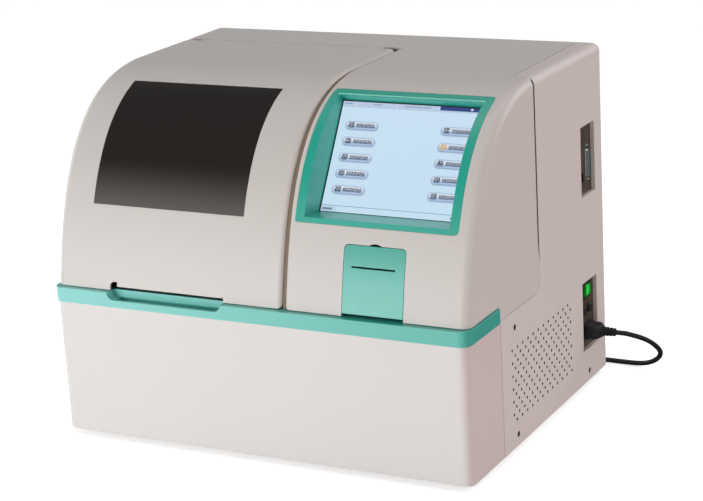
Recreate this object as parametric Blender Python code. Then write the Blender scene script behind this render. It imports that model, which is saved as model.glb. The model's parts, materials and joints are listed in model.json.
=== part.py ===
# A benchtop chemistry analyzer: a hinged lid with a dark window over the working deck,
# a fixed cover with a sunk touch screen and a ticket printer, a perforated right side
# with two connector recesses, and the mains lead.
# Lengths are in metres. Places are measured from the case's left, front, bottom corner:
# x to the right, y to the back, z up. The empty "case_corner" puts that corner in the world.

import math

import bmesh
import bpy
from mathutils import Vector

for old in list(bpy.data.objects):
    bpy.data.objects.remove(old, do_unlink=True)

# Case
case_width = 0.600
case_depth = 0.460
case_height = 0.463
wall = 0.003            # moulded covers
sheet = 0.002           # folded steel panels
seam = 0.0006           # seam that shows between two panels
seat = 0.0003           # gap of a piece on its seat
overrun = 0.002         # how far a cut runs past the face it opens
run_gap = 0.0003        # radial gap of a shaft in its bore

# Lower front panel and the belt above it
lower_height = 0.181    # case bottom to the belt
belt_height = 0.0195
belt_proud = 0.002
belt_end = 0.096        # where the belt stops on each side
lower_end = 0.100       # where the lower panel's returns stop
corner_round = 0.012    # upright front corners
inner_corner_share = 0.25   # least inner radius, of the outer one

# Curved covers over the belt
cover_gap = 0.001       # belt to the covers' lower edge
cover_setback = 0.007   # covers behind the lower panel's face
cover_lean = math.radians(10.5)
lean_share = 0.4841     # how long the front keeps its lean, of the covers' height
top_reach = 0.168       # how early the top starts to fall
flat_start = 0.240      # where the top runs level
curve_steps = 14
edge_round = 0.012      # long outer edges of the covers
edge_steps = 3
back_round = 0.010      # top to back
side_seam = 0.2307      # upright seam in each side

# Split between the lid and the fixed cover
split_left = 0.3422
split_gap = 0.0044
inner_edge_round = 0.006

belt_top = lower_height + belt_height
cover_base = belt_top + cover_gap
cover_rise = case_height - cover_base
fixed_left = split_left + split_gap
fixed_width = case_width - fixed_left

# Sheen and colour of each finish: red, green, blue, roughness, metallic
finishes = {
    "shell": (0.76, 0.73, 0.71, 0.45, 0.0),
    "shell_front": (0.82, 0.81, 0.81, 0.45, 0.0),
    "teal": (0.24, 0.72, 0.60, 0.40, 0.0),
    "window": (0.03, 0.025, 0.02, 0.12, 0.0),
    "screen": (0.55, 0.76, 0.95, 0.20, 0.0),
    "steel": (0.55, 0.55, 0.54, 0.35, 0.9),
    "zinc": (0.50, 0.49, 0.45, 0.50, 0.8),
    "white": (0.85, 0.86, 0.86, 0.35, 0.0),
    "smoke": (0.30, 0.33, 0.36, 0.15, 0.0),
    "black": (0.02, 0.02, 0.022, 0.50, 0.0),
    "rubber": (0.03, 0.03, 0.03, 0.80, 0.0),
    "green": (0.02, 0.75, 0.10, 0.25, 0.0),
    "blue": (0.25, 0.38, 0.52, 0.40, 0.2),
    "board": (0.05, 0.25, 0.12, 0.45, 0.0),
    "lead": (0.015, 0.015, 0.017, 0.45, 0.0),
}


# Makers

def material_for(name, finish):
    red, green, blue, rough, metal = finishes[finish]
    made = bpy.data.materials.new(name)
    made.use_nodes = True
    made.diffuse_color = (red, green, blue, 1)
    shader = made.node_tree.nodes["Principled BSDF"]
    shader.inputs["Base Color"].default_value = (red, green, blue, 1)
    shader.inputs["Roughness"].default_value = rough
    shader.inputs["Metallic"].default_value = metal
    return made


def pivot(name, place):
    """An empty on a joint's axis, carried by the case."""
    empty = bpy.data.objects.new(name, None)
    bpy.context.scene.collection.objects.link(empty)
    empty.empty_display_size = corner_round
    empty.parent = case_corner
    empty.location = place
    return empty


def to_object(name, shape, carrier):
    bmesh.ops.recalc_face_normals(shape, faces=shape.faces)
    mesh = bpy.data.meshes.new(name)
    shape.to_mesh(mesh)
    shape.free()
    made = bpy.data.objects.new(name, mesh)
    bpy.context.scene.collection.objects.link(made)
    made.parent = carrier
    if carrier.parent == case_corner and carrier.type == "EMPTY":
        made.location = -carrier.location
    return made


def piece(name, shape, finish, carrier=None, smooth=False):
    """A named piece of the analyzer, from a shape drawn in case places."""
    made = to_object(name, shape, carrier or case_corner)
    made.data.materials.append(material_for(name, finish))
    if smooth:
        made.data.shade_smooth()
        made.data.set_sharp_from_angle(angle=math.radians(35))
    return made


def combine(target, shape, operation, solver="EXACT"):
    helper = to_object(target.name + "_" + operation.lower(), shape, target)
    helper.hide_render = True
    helper.display_type = "WIRE"
    change = target.modifiers.new(operation.title(), "BOOLEAN")
    change.operation = operation
    change.object = helper
    change.solver = solver


def cut(target, *shapes):
    for shape in shapes:
        combine(target, shape, "DIFFERENCE")


def join(target, *shapes):
    for shape in shapes:
        combine(target, shape, "UNION")


def keep_inside(target, shape):
    combine(target, shape, "INTERSECT")


def soften(target, width, steps=2, angle=math.radians(40)):
    bevel = target.modifiers.new("Soft edges", "BEVEL")
    bevel.width = width
    bevel.segments = steps
    bevel.limit_method = "ANGLE"
    bevel.angle_limit = angle


# Shapes

def loft(sections):
    """A closed solid through loops with the same number of points."""
    shape = bmesh.new()
    rings = [[shape.verts.new(point) for point in section] for section in sections]
    count = len(rings[0])
    for ring, following in zip(rings, rings[1:]):
        for i in range(count):
            j = (i + 1) % count
            shape.faces.new((ring[i], ring[j], following[j], following[i]))
    shape.faces.new(rings[0][::-1])
    shape.faces.new(rings[-1])
    return shape


def lifted(outline, axis, level):
    """A flat outline at a level along x (y, z), along y (x, z) or along z (x, y)."""
    if axis == "x":
        return [(level, a, b) for a, b in outline]
    if axis == "y":
        return [(a, level, b) for a, b in outline]
    return [(a, b, level) for a, b in outline]


def prism(outline, axis, low, high):
    return loft([lifted(outline, axis, low), lifted(outline, axis, high)])


def block(x, y, z):
    """A box from its ranges along x, y and z."""
    return prism([(x[0], y[0]), (x[1], y[0]), (x[1], y[1]), (x[0], y[1])], "z", z[0], z[1])


def rounded(corners, steps=3):
    """An outline with each corner (a, b, radius) turned into an arc."""
    outline = []
    count = len(corners)
    for i, (a, b, radius) in enumerate(corners):
        if radius == 0:
            outline.append((a, b))
            continue
        tip = Vector((a, b))
        back = (Vector(corners[i - 1][:2]) - tip).normalized()
        ahead = (Vector(corners[(i + 1) % count][:2]) - tip).normalized()
        half = back.angle(ahead) / 2
        middle = tip + (back + ahead).normalized() * (radius / math.sin(half))
        start = tip + back * (radius / math.tan(half)) - middle
        sweep = start.angle_signed(tip + ahead * (radius / math.tan(half)) - middle)
        for step in range(steps + 1):
            turn = -sweep * step / steps
            outline.append((middle.x + start.x * math.cos(turn) - start.y * math.sin(turn),
                            middle.y + start.x * math.sin(turn) + start.y * math.cos(turn)))
    return outline


def plate(a, b, radius, steps=3):
    """A rounded rectangle from its two ranges."""
    return rounded([(a[0], b[0], radius), (a[1], b[0], radius),
                    (a[1], b[1], radius), (a[0], b[1], radius)], steps)


def circle(centre, radius, sides):
    return [(centre[0] + radius * math.cos(2 * math.pi * i / sides),
             centre[1] + radius * math.sin(2 * math.pi * i / sides)) for i in range(sides)]


def turned(profile, axis, centre, sides):
    """A turned solid: profile (radius, level) about an axis through centre.
    A profile that ends on the axis closes there, and any other is a ring."""
    shape = bmesh.new()
    rings = []
    for radius, level in profile:
        if radius == 0:
            rings.append([shape.verts.new(lifted([centre], axis, level)[0])] * sides)
        else:
            loop = lifted(circle(centre, radius, sides), axis, level)
            rings.append([shape.verts.new(point) for point in loop])
    pairs = list(zip(rings, rings[1:]))
    if profile[0][0] > 0:
        pairs.append((rings[-1], rings[0]))
    for ring, following in pairs:
        if ring[0] is ring[1] and following[0] is following[1]:
            continue
        for i in range(sides):
            j = (i + 1) % sides
            corners = [ring[i], ring[j], following[j], following[i]]
            shape.faces.new(list(dict.fromkeys(corners)))
    return shape


def rod(axis, centre, radius, low, high, sides=12):
    return prism(circle(centre, radius, sides), axis, low, high)


def ends(middle, length):
    return middle - length / 2, middle + length / 2


# The covers' curved side view

def curve_station(step, depth):
    """A corner of the covers' faceted outline, step 0 at the belt and curve_steps at the
    level top, set inward by depth."""
    share = step / curve_steps
    base_reach = cover_rise * lean_share
    points = [Vector((cover_setback, cover_base)),
              Vector((cover_setback + base_reach * math.sin(cover_lean),
                      cover_base + base_reach * math.cos(cover_lean))),
              Vector((flat_start - top_reach, case_height)),
              Vector((flat_start, case_height))]
    left = 1 - share
    place = (points[0] * left ** 3 + points[1] * 3 * left ** 2 * share
             + points[2] * 3 * left * share ** 2 + points[3] * share ** 3)
    along = ((points[1] - points[0]) * left ** 2 + (points[2] - points[1]) * 2 * left * share
             + (points[3] - points[2]) * share ** 2).normalized()
    return Vector((place.x + along.y * depth, place.y - along.x * depth))


def curve_point(share, depth=0):
    """A point on the same facets, so that what is let into the covers lies flush."""
    step = min(int(share * curve_steps), curve_steps - 1)
    start, end = curve_station(step, depth), curve_station(step + 1, depth)
    return tuple(start.lerp(end, share * curve_steps - step))


def share_at(height, depth=0):
    """The share where the curve, set inward by depth, is at a height."""
    low, high = 0, 1
    for _ in range(40):
        middle = (low + high) / 2
        if curve_point(middle, depth)[1] < height:
            low = middle
        else:
            high = middle
    return low


def front_at(height, depth=0):
    return curve_point(share_at(height, depth), depth)[0]


def band(x, heights, depths):
    """A curved slab that follows the covers between two heights and two depths."""
    low, high = share_at(heights[0]), share_at(heights[1])
    stations = [step / curve_steps for step in range(curve_steps + 1)]
    shares = [low] + [share for share in stations if low < share < high] + [high]
    outline = [curve_point(share, depths[0]) for share in shares]
    outline += [curve_point(share, depths[1]) for share in reversed(shares)]
    return prism(outline, "x", x[0], x[1])


def cover_outline(depth, base, back, back_curve):
    """The covers' side view, from the lower front edge over the top to the back."""
    outline = [(curve_point(0)[0] + depth, base)]
    outline += [curve_point(step / curve_steps, depth) for step in range(curve_steps + 1)]
    outline[1] = (outline[0][0], cover_base)
    top = case_height - depth
    if back_curve > 0:
        for step in range(edge_steps + 1):
            turn = math.pi / 2 * step / edge_steps
            outline.append((back - back_curve + back_curve * math.sin(turn),
                            top - back_curve + back_curve * math.cos(turn)))
    else:
        outline.append((back, top))
    outline.append((back, base))
    return outline


def cover_solid(x, depth, base, back, rounds, back_curve=0):
    """The covers' solid between two x places, its long edges rounded off."""
    stations = []
    for step in range(edge_steps + 1):
        turn = math.pi / 2 * step / edge_steps
        stations.append((x[0] + rounds[0] * (1 - math.cos(turn)), rounds[0] * (1 - math.sin(turn))))
    for step in range(edge_steps, -1, -1):
        turn = math.pi / 2 * step / edge_steps
        stations.append((x[1] - rounds[1] * (1 - math.cos(turn)), rounds[1] * (1 - math.sin(turn))))
    return loft([lifted(cover_outline(depth + inset, base, back, back_curve), "x", level)
                 for level, inset in stations])


def up_cover(share):
    """A height on the covers, by its share of theirs."""
    return cover_base + cover_rise * share


def across_cover(*shares):
    """Places across the fixed cover, by their shares of its width."""
    return tuple(fixed_left + fixed_width * share for share in shares)


def before_back(*lengths):
    """Places in depth, measured from the case's back."""
    return tuple(case_depth - length for length in lengths)


# Base, feet, lower front panel and belt

foot_height = 0.008
foot_radius = 0.012
foot_taper_share = 0.85
foot_inset = 0.048
tray_rim = 0.014
port_reach = 0.010      # fluid ports behind the back

case_corner = bpy.data.objects.new("case_corner", None)
bpy.context.scene.collection.objects.link(case_corner)
case_corner.location = (-case_width / 2, -(case_depth + port_reach - belt_proud) / 2, foot_height)

inside = sheet + seam   # tray and back panel inside the sheet sides


def make_base():
    low, high = wall + seam, case_width - wall - seam
    front, back = wall + seam, case_depth - inside
    tray = piece("base_tray", prism(plate((low, high), (front, back), corner_round), "z",
                                    0, tray_rim), "zinc")
    cut(tray, prism(plate((low + sheet, high - sheet), (front + sheet, back - sheet),
                          corner_round - sheet), "z", sheet, tray_rim + overrun))
    for x, side in ((foot_inset, "left"), (case_width - foot_inset, "right")):
        for y, end in ((foot_inset, "front"), (case_depth - foot_inset, "rear")):
            profile = [(0, -foot_height), (foot_radius * foot_taper_share, -foot_height),
                       (foot_radius, -seat), (0, -seat)]
            piece("foot_" + end + "_" + side, turned(profile, "z", (x, y), 16), "rubber",
                  smooth=True)


def wrap(proud, inset, end, low, high):
    """A U round the front corners, its face proud of the panel, its inside inset from it."""
    outer, inner = -proud, inset
    radius = corner_round + proud
    inner_radius = max(corner_round - inset, corner_round * inner_corner_share)
    right = case_width
    outline = rounded([(outer, end, 0), (outer, outer, radius), (right - outer, outer, radius),
                       (right - outer, end, 0), (right - inner, end, 0),
                       (right - inner, inner, inner_radius), (inner, inner, inner_radius),
                       (inner, end, 0)], edge_steps)
    return prism(outline, "z", low, high)


grip_left, grip_right = 0.084, 0.262    # finger grip along the belt
grip_below_belt = 0.0075
grip_floor = belt_top - grip_below_belt
grip_depth = 0.016
grip_rise = 0.0071
grip_top = cover_base + grip_rise       # the lid's raised edge over the grip
grip_corner = 0.006
grip_wall = 0.002
grip_back_rise = 0.0060
grip_back_top = belt_top + grip_back_rise   # back wall of the grip, inside the lid
shelf_depth = 0.020                     # belt's top shelf under the covers


def make_front():
    piece("lower_front_panel", wrap(0, wall, lower_end, 0, lower_height - seat), "shell_front")
    belt = piece("belt_trim", wrap(belt_proud, shelf_depth, belt_end, lower_height, belt_top), "teal")
    cut(belt, wrap(-wall, shelf_depth + shelf_depth, belt_end + overrun, lower_height - overrun,
                   belt_top - wall))
    back = grip_depth - belt_proud
    join(belt, block((grip_left - grip_wall, grip_right + grip_wall), (wall / 2, back + grip_wall),
                     (grip_floor - grip_wall, belt_top - wall / 2)),
         block((grip_left + grip_corner, grip_right - grip_corner), (back - seat, back + grip_wall / 2),
               (grip_floor - grip_wall / 2, grip_back_top)))
    corners = rounded([(grip_left, grip_floor, grip_corner), (grip_right, grip_floor, grip_corner),
                       (grip_right, grip_back_top + overrun, 0),
                       (grip_left, grip_back_top + overrun, 0)])
    cut(belt, prism(corners, "y", -belt_proud - overrun, back))


# Lid, its window and its hinge

hinge_to_back = 0.097
hinge_y = case_depth - hinge_to_back
barrel_radius = 0.0035
pin_radius = 0.002
hinge_z = case_height - barrel_radius
skirt_height = 0.022                    # lid's side walls behind the side seam
skirt_bottom = case_height - skirt_height
lid_notch_front = 0.005                 # notch in front of the hinge line
lid_notch_start = hinge_y - lid_notch_front
ear_width = 0.012
ear_edge = 0.005                        # ear to the barrel's end, and to the lid's side
left_ear = 0.021
right_ear = 0.3235
bracket_thick = 0.005
strip_behind_hinge = 0.0042
bracket_under_strip = 0.0278
rear_strip_front = hinge_y + strip_behind_hinge
bracket_back = rear_strip_front + bracket_under_strip
window_x = (0.0515, 0.2805)
window_low_share, window_high_share = 0.4130, 0.9457
window_z = (up_cover(window_low_share), up_cover(window_high_share))
window_thick = 0.0012
ledge_top_share = 0.6
window_ledge = 0.006


def make_lid():
    carrier = pivot("lid_hinge", (split_left / 2, hinge_y, hinge_z))
    lid = piece("lid", cover_solid((0, split_left), 0, cover_base, hinge_y,
                                   (edge_round, inner_edge_round)), "shell", carrier, smooth=True)
    cut(lid, cover_solid((wall, split_left - wall), wall, cover_base - overrun,
                         hinge_y + overrun, (edge_round - wall, inner_edge_round - wall)))
    cut(lid, block((-overrun, split_left + overrun), (side_seam - seam, hinge_y + overrun),
                   (cover_base - overrun, skirt_bottom)))
    join(lid, rod("x", (hinge_y, hinge_z), barrel_radius, left_ear + ear_width,
                  right_ear, 16))
    cut(lid, block((-overrun, left_ear + ear_width + seam),
                   (lid_notch_start, case_depth), (skirt_bottom - overrun, case_height + overrun)),
        block((right_ear - seam, split_left + overrun),
              (lid_notch_start, case_depth), (skirt_bottom - overrun, case_height + overrun)))
    bore = pin_radius + run_gap
    pin_depth = ear_width + ear_edge
    cut(lid, rod("x", (hinge_y, hinge_z), bore, left_ear, left_ear + ear_width + pin_depth),
        rod("x", (hinge_y, hinge_z), bore, right_ear - pin_depth, right_ear + ear_width))
    notch = rounded([(grip_left, cover_base - overrun, 0), (grip_left, grip_top, grip_corner),
                     (grip_right, grip_top, grip_corner), (grip_right, cover_base - overrun, 0)])
    cut(lid, prism(notch, "y", 0, grip_depth + shelf_depth))
    reach = window_thick + seat
    cut(lid, band(window_x, window_z, (-overrun, reach)),
        band((window_x[0] + window_ledge, window_x[1] - window_ledge),
             (window_z[0] + window_ledge, window_z[1] - window_ledge * ledge_top_share),
             (0, wall + overrun)))
    inner_x = (window_x[0] + seat, window_x[1] - seat)
    inner_z = (window_z[0] + seat, window_z[1] - seat)
    piece("lid_window", band(inner_x, inner_z, (0, window_thick)), "window",
          carrier, smooth=True)


def make_hinges():
    under = case_height - wall - seat
    for x, side in ((left_ear, "left"), (right_ear, "right")):
        loop = [point for point in circle((hinge_y, hinge_z), barrel_radius - seat, 16)
                if point[0] < hinge_y + pin_radius]
        loop.sort(key=lambda point: -math.atan2(point[1] - hinge_z, hinge_y + pin_radius - point[0]))
        outline = loop + [(hinge_y + barrel_radius, under - bracket_thick),
                          (bracket_back, under - bracket_thick), (bracket_back, under),
                          (rear_strip_front - seam, under)]
        bracket = piece("hinge_bracket_" + side,
                        prism(outline, "x", x + seat, x + ear_width - seam), "zinc")
        cut(bracket, rod("x", (hinge_y, hinge_z), pin_radius + run_gap, x - overrun,
                         x + ear_width + overrun))
    pin = pin_radius, ear_width + ear_edge
    piece("hinge_pin_left", rod("x", (hinge_y, hinge_z), pin[0], left_ear + seam,
                                left_ear + ear_width + pin[1] - seam), "steel", smooth=True)
    piece("hinge_pin_right", rod("x", (hinge_y, hinge_z), pin[0], right_ear - pin[1] + seam,
                                 right_ear + ear_width - seam), "steel", smooth=True)


# Fixed cover, with the screen bezel, the screen and the printer in it

flange_width = 0.028                    # top groove along the right side
flange_left = case_width - flange_width
strip_left = 0.0176
bezel_x_shares = (0.0331, 0.9152)
bezel_high_share = 0.9549
bezel_x = across_cover(*bezel_x_shares)
bezel_z = (window_z[0], up_cover(bezel_high_share))
bezel_flange = 0.0035                   # catches behind the cover
flange_thick = 0.002
rim_side = 0.012
screen_sunk = (0.0409, -0.0079)            # screen face behind the rim, at its bottom and its top
screen_inside = (0.0035, 0.0125)        # and how far inside the rim's heights
well_sunk = (0.0029, -0.0144)              # the same where the well leaves the rim
well_inside = (0.0062, 0.0047)
screen_low = (front_at(bezel_z[0]) + screen_sunk[0], bezel_z[0] + screen_inside[0])
screen_high = (front_at(bezel_z[1]) + screen_sunk[1], bezel_z[1] - screen_inside[1])
well_low = (front_at(bezel_z[0]) + well_sunk[0], bezel_z[0] + well_inside[0])
well_high = (front_at(bezel_z[1]) + well_sunk[1], bezel_z[1] - well_inside[1])
screen_thick = 0.006
well_reach = 0.060                      # clears the whole front of the well
well_wall = 0.0025
door_x_shares = (0.3173, 0.6535)
door_high_share = 0.3346
door_above_belt = 0.0045                # gap under the door
door_x = across_cover(*door_x_shares)
door_z = (belt_top + door_above_belt, up_cover(door_high_share))
door_gap = 0.0006
door_thick = 0.0025
door_corner = 0.006


def side_outline(low_start, level, high_start, top, corner, back_curve):
    """A side panel's outline in y and z: low in front of the side seam, tall behind it."""
    return rounded([(low_start, 0, 0), (case_depth, 0, 0), (case_depth, top, back_curve),
                    (high_start, top, 0), (high_start, level, corner), (low_start, level, 0)])


side_level = lower_height + seam        # seam under the cover's side wall
side_corner = 0.015


def make_fixed_cover():
    cover = piece("fixed_cover", cover_solid((fixed_left, case_width), 0, side_level + seam,
                                             case_depth, (inner_edge_round, edge_round),
                                             back_round), "shell", smooth=True)
    cut(cover, cover_solid((fixed_left + wall, case_width - wall), wall, lower_height,
                           case_depth - wall, (inner_edge_round - wall, edge_round - wall),
                           back_round - wall))
    below = (lower_height - overrun, cover_base)
    cut(cover, block((fixed_left - overrun, case_width - edge_round), (-overrun, case_depth), below),
        block((fixed_left - overrun, case_width + overrun),
              (-overrun, belt_end + seam), below),
        block((fixed_left - overrun, case_width + overrun),
              (case_depth - inside - seam, case_depth + overrun),
              (0, case_height - back_round - wall)))
    behind = rounded([(side_seam, case_height + overrun, 0),
                      (side_seam, side_level + seam, side_corner),
                      (side_seam - side_corner * 2, side_level + seam, 0),
                      (side_seam - side_corner * 2, lower_height - overrun, 0),
                      (case_depth + overrun, lower_height - overrun, 0),
                      (case_depth + overrun, case_height + overrun, 0)])
    cut(cover, prism(behind, "x", flange_left, case_width + overrun))
    top = case_height
    bend = back_round
    strip = rounded([(rear_strip_front, top - wall, 0), (rear_strip_front, top, 0),
                     (case_depth, top, bend), (case_depth, top - bend - wall, 0),
                     (case_depth - wall, top - bend - wall, 0),
                     (case_depth - wall, top - wall, bend - wall)])
    join(cover, prism(strip, "x", strip_left, fixed_left + edge_round))
    cut(cover, band((bezel_x[0] - seat, bezel_x[1] + seat),
                    (bezel_z[0] - seat, bezel_z[1] + seat), (-overrun, wall + overrun)))
    door_hole = rounded([(door_x[0], cover_base - overrun, 0), (door_x[1], cover_base - overrun, 0),
                         (door_x[1], door_z[1], door_corner), (door_x[0], door_z[1], door_corner)])
    cut(cover, prism(door_hole, "y", -overrun, front_at(door_z[1], wall + overrun)))


def make_screen():
    rim = band(bezel_x, bezel_z, (0, wall + seat))
    bezel = piece("screen_bezel", rim, "teal")
    flange_x = (bezel_x[0] - bezel_flange, bezel_x[1] + bezel_flange)
    flange_z = (bezel_z[0] - bezel_flange, bezel_z[1] + bezel_flange * ledge_top_share)
    join(bezel, band(flange_x, flange_z, (wall + seat, wall + seat + flange_thick)))
    low, high = Vector(screen_low), Vector(screen_high)
    up = (high - low).normalized()
    inward = Vector((up.y, -up.x))
    back = screen_thick + seat
    open_low, open_high = Vector(well_low), Vector(well_high)
    mouth = (share_at(well_high[1]), share_at(well_low[1]))
    shell = [low - up * well_wall + inward * (back + well_wall),
             high + up * well_wall + inward * (back + well_wall), open_high + up * well_wall]
    shell += [curve_point(mouth[0] + (mouth[1] - mouth[0]) * step / curve_steps, wall / 2)
              for step in range(curve_steps + 1)]
    shell += [open_low - up * well_wall]
    well_x = (bezel_x[0] + rim_side, bezel_x[1] - rim_side)
    join(bezel, prism([tuple(point) for point in shell], "x",
                      well_x[0] - well_wall, well_x[1] + well_wall))
    hollow = [open_low - inward * well_reach, open_low, low, low + inward * back,
              high + inward * back, high, open_high, open_high - inward * well_reach]
    cut(bezel, prism([tuple(point) for point in hollow], "x", *well_x))
    front = low + up * seat, high - up * seat
    glass = [front[0], front[1], front[1] + inward * screen_thick, front[0] + inward * screen_thick]
    piece("touch_screen", prism([tuple(point) for point in glass], "x",
                                well_x[0] + seat, well_x[1] - seat), "screen")


door_pin_radius = 0.0015
door_barrel = 0.003
door_hinge_deep = 0.0080                # hinge line behind the covers' lower edge
door_hinge_rise = 0.0050                # and above the door's
door_axis = (cover_setback + door_hinge_deep, door_z[0] + door_hinge_rise)
slot_inside = (0.0118, 0.0138)          # paper slot inside the door's left and right edges
slot_drop = 0.0280                      # and below its top
slot_height = 0.0022
slot_x = (door_x[0] + slot_inside[0], door_x[1] - slot_inside[1])
slot_z = (door_z[1] - slot_drop, door_z[1] - slot_drop + slot_height)
door_notch = 0.009                      # half width of the finger notch
door_notch_deep = 0.0045
door_swing_room = 0.0095               # behind the hinge line, for the door's lower edge
platen_radius = 0.0045
platen_behind = 0.0160                  # platen behind the door's hinge line
platen_drop = 0.0340                    # and below the door's top
platen_inside = (0.0130, 0.0147)
platen_axis = (door_axis[0] + platen_behind, door_z[1] - platen_drop)
platen_x = (door_x[0] + platen_inside[0], door_x[1] - platen_inside[1])
journal = 0.0015
cheek = 0.004
printer_wall = 0.002                    # over and under the paper bin
head_depth = 0.010
printer_lap = 0.0045                    # printer housing past the door on each side
printer_head = 0.0030
printer_x = (door_x[0] - printer_lap, door_x[1] + printer_lap)
printer_back = 0.125
printer_z = (cover_base + cover_gap, door_z[1] + printer_head)


def make_printer():
    carrier = pivot("printer_door_hinge", ((door_x[0] + door_x[1]) / 2, door_axis[0], door_axis[1]))
    x = (door_x[0] + door_gap, door_x[1] - door_gap)
    z = (door_z[0], door_z[1] - door_gap)
    door = piece("printer_door", band(x, z, (0, door_thick)), "teal", carrier, smooth=True)
    keep_inside(door, prism(rounded([(x[0], z[0] - overrun, 0), (x[1], z[0] - overrun, 0),
                                     (x[1], z[1], door_corner), (x[0], z[1], door_corner)]),
                            "y", -overrun, platen_axis[0]))
    lip = front_at(door_axis[1], door_thick / 2)
    join(door, rod("x", door_axis, door_barrel, x[0], x[1], 12),
         block(x, (lip, door_axis[0]), (door_axis[1] - door_barrel / 2, door_axis[1] + door_barrel / 2)),
         rod("x", door_axis, door_pin_radius, printer_x[0] + seam, printer_x[1] - seam, 8))
    ear_low, ear_high = platen_axis[1] - platen_radius, platen_axis[1] + platen_radius
    for start in (platen_x[0] - seam - door_thick, platen_x[1] + seam):
        ear = [(front_at(ear_low, door_thick / 2), ear_low), (platen_axis[0] + platen_radius, ear_low),
               (platen_axis[0] + platen_radius, ear_high),
               (front_at(ear_high, door_thick / 2), ear_high)]
        join(door, prism(ear, "x", start, start + door_thick))
    cut(door, rod("x", platen_axis, journal + run_gap, platen_x[0] - cheek, platen_x[1] + cheek, 8),
        block(slot_x, (0, platen_axis[0] - platen_radius), slot_z),
        rod("y", ((x[0] + x[1]) / 2, z[1] + door_notch - door_notch_deep), door_notch,
            0, platen_axis[0] + platen_radius, 16))
    turn = pivot("platen_shaft", ((platen_x[0] + platen_x[1]) / 2, platen_axis[0], platen_axis[1]))
    reach = seam + door_thick
    profile = [(0, platen_x[0] - reach), (journal, platen_x[0] - reach), (journal, platen_x[0]),
               (platen_radius, platen_x[0]), (platen_radius, platen_x[1]), (journal, platen_x[1]),
               (journal, platen_x[1] + reach), (0, platen_x[1] + reach)]
    piece("platen_roller", turned(profile, "x", platen_axis, 12), "rubber", turn, smooth=True)
    low, high = printer_z
    front = [(front_at(height, wall + seat), height) for height in (low, door_z[1], high)]
    outline = [(printer_back, low)] + front + [(printer_back, high)]
    housing = piece("printer_housing", prism(outline, "x", *printer_x), "black")
    hollow = [(point[0] - overrun * 2, point[1]) for point in front]
    hollow[0] = (hollow[0][0], low + printer_wall)
    hollow[2] = (hollow[2][0], high - printer_wall)
    hollow += [(printer_back - cheek, high - printer_wall), (printer_back - cheek, low + printer_wall)]
    inner = (printer_x[0] + cheek, printer_x[1] - cheek)
    cut(housing, prism(hollow, "x", *inner),
        block(inner, (0, door_axis[0] + door_swing_room), (low - overrun, low + cheek)),
        rod("x", door_axis, door_pin_radius + run_gap, printer_x[0] - overrun,
            printer_x[1] + overrun, 8))
    head_front = platen_axis[0] + platen_radius + seam
    piece("print_head", block((platen_x[0], platen_x[1]), (head_front, head_front + head_depth),
                              (platen_axis[1] + platen_radius, high - printer_wall - seat)), "black")


# Side panels, back panel and what is let into them

vent_start = (0.1335, 0.1320)           # first hole (y, z)
vent_rows = 6
vent_step = 0.0172                      # and half of it between staggered columns
vent_drop = 0.0173
vent_radius = 0.0017
vent_margin = 0.035                     # vent to the lower cut-out
upper_recess_behind = (0.0770, 0.0265)  # cut-outs' edges, from the back
upper_recess_under = (0.1990, 0.1020)   # and from the top
lower_recess_behind = (0.0825, 0.0295)
lower_recess_z = (0.0465, 0.144)
upper_recess = (before_back(*upper_recess_behind),
                tuple(case_height - drop for drop in upper_recess_under))
lower_recess = (before_back(*lower_recess_behind), lower_recess_z)
vent_columns = int((lower_recess[0][0] - vent_margin - vent_start[0]) / vent_step)
recess_depth = 0.006
pan_lap = 0.003


def make_sides():
    right = piece("right_side_panel",
                  prism(side_outline(lower_end + seam, side_level, side_seam + seam,
                                     case_height - edge_round, side_corner, 0),
                        "x", case_width - sheet, case_width), "shell")
    bend = rounded([(case_width, side_level + seam, 0), (case_width, case_height, edge_round),
                    (flange_left + seam, case_height, 0), (flange_left + seam, case_height - sheet, 0),
                    (case_width - sheet, case_height - sheet, edge_round - sheet),
                    (case_width - sheet, side_level + seam, 0)], edge_steps)
    join(right, prism(bend, "y", side_seam + seam + side_corner, case_depth))
    upright = side_seam + seam, side_seam + seam + side_corner
    join(right, prism([(a, max(b, case_height - edge_round * 2)) for a, b in bend], "y",
                      upright[0], upright[1] + overrun))
    shapes = []
    for row in range(vent_rows):
        for column in range(vent_columns):
            y = vent_start[0] + vent_step * column
            z = vent_start[1] - vent_drop * row
            shapes += [(y, z), (y + vent_step / 2, z - vent_drop / 2)]
    cut(right, hole_field(shapes))
    for y, z in (upper_recess, lower_recess):
        cut(right, prism(plate(y, z, sheet / 2, 1), "x", case_width - sheet - overrun,
                         case_width + overrun))
    corner = (case_depth, case_height)
    cut(right, back_corner("x", flange_left - overrun, case_width + overrun, corner))

    left = piece("left_side_panel",
                 prism(side_outline(lower_end + seam, belt_top, side_seam + seam,
                                    skirt_bottom - seam, 0, 0), "x", 0, sheet), "shell")
    bend = [(case_width - x, z) for x, z in bend]
    bend = [(min(x, strip_left - seam), z) for x, z in bend]
    join(left, prism([(a, max(b, case_height - edge_round * 2)) for a, b in bend], "y",
                     rear_strip_front + seam, case_depth))
    cut(left, back_corner("x", -overrun, strip_left, corner))


def hole_field(centres):
    """Round holes along x through the right panel, as one cutter."""
    shape = bmesh.new()
    for centre in centres:
        low = [shape.verts.new(point) for point in
               lifted(circle(centre, vent_radius, 6), "x", case_width - sheet - overrun)]
        high = [shape.verts.new(point) for point in
                lifted(circle(centre, vent_radius, 6), "x", case_width + overrun)]
        shape.faces.new(low[::-1])
        shape.faces.new(high)
        for i in range(len(low)):
            j = (i + 1) % len(low)
            shape.faces.new((low[i], low[j], high[j], high[i]))
    return shape


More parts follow.
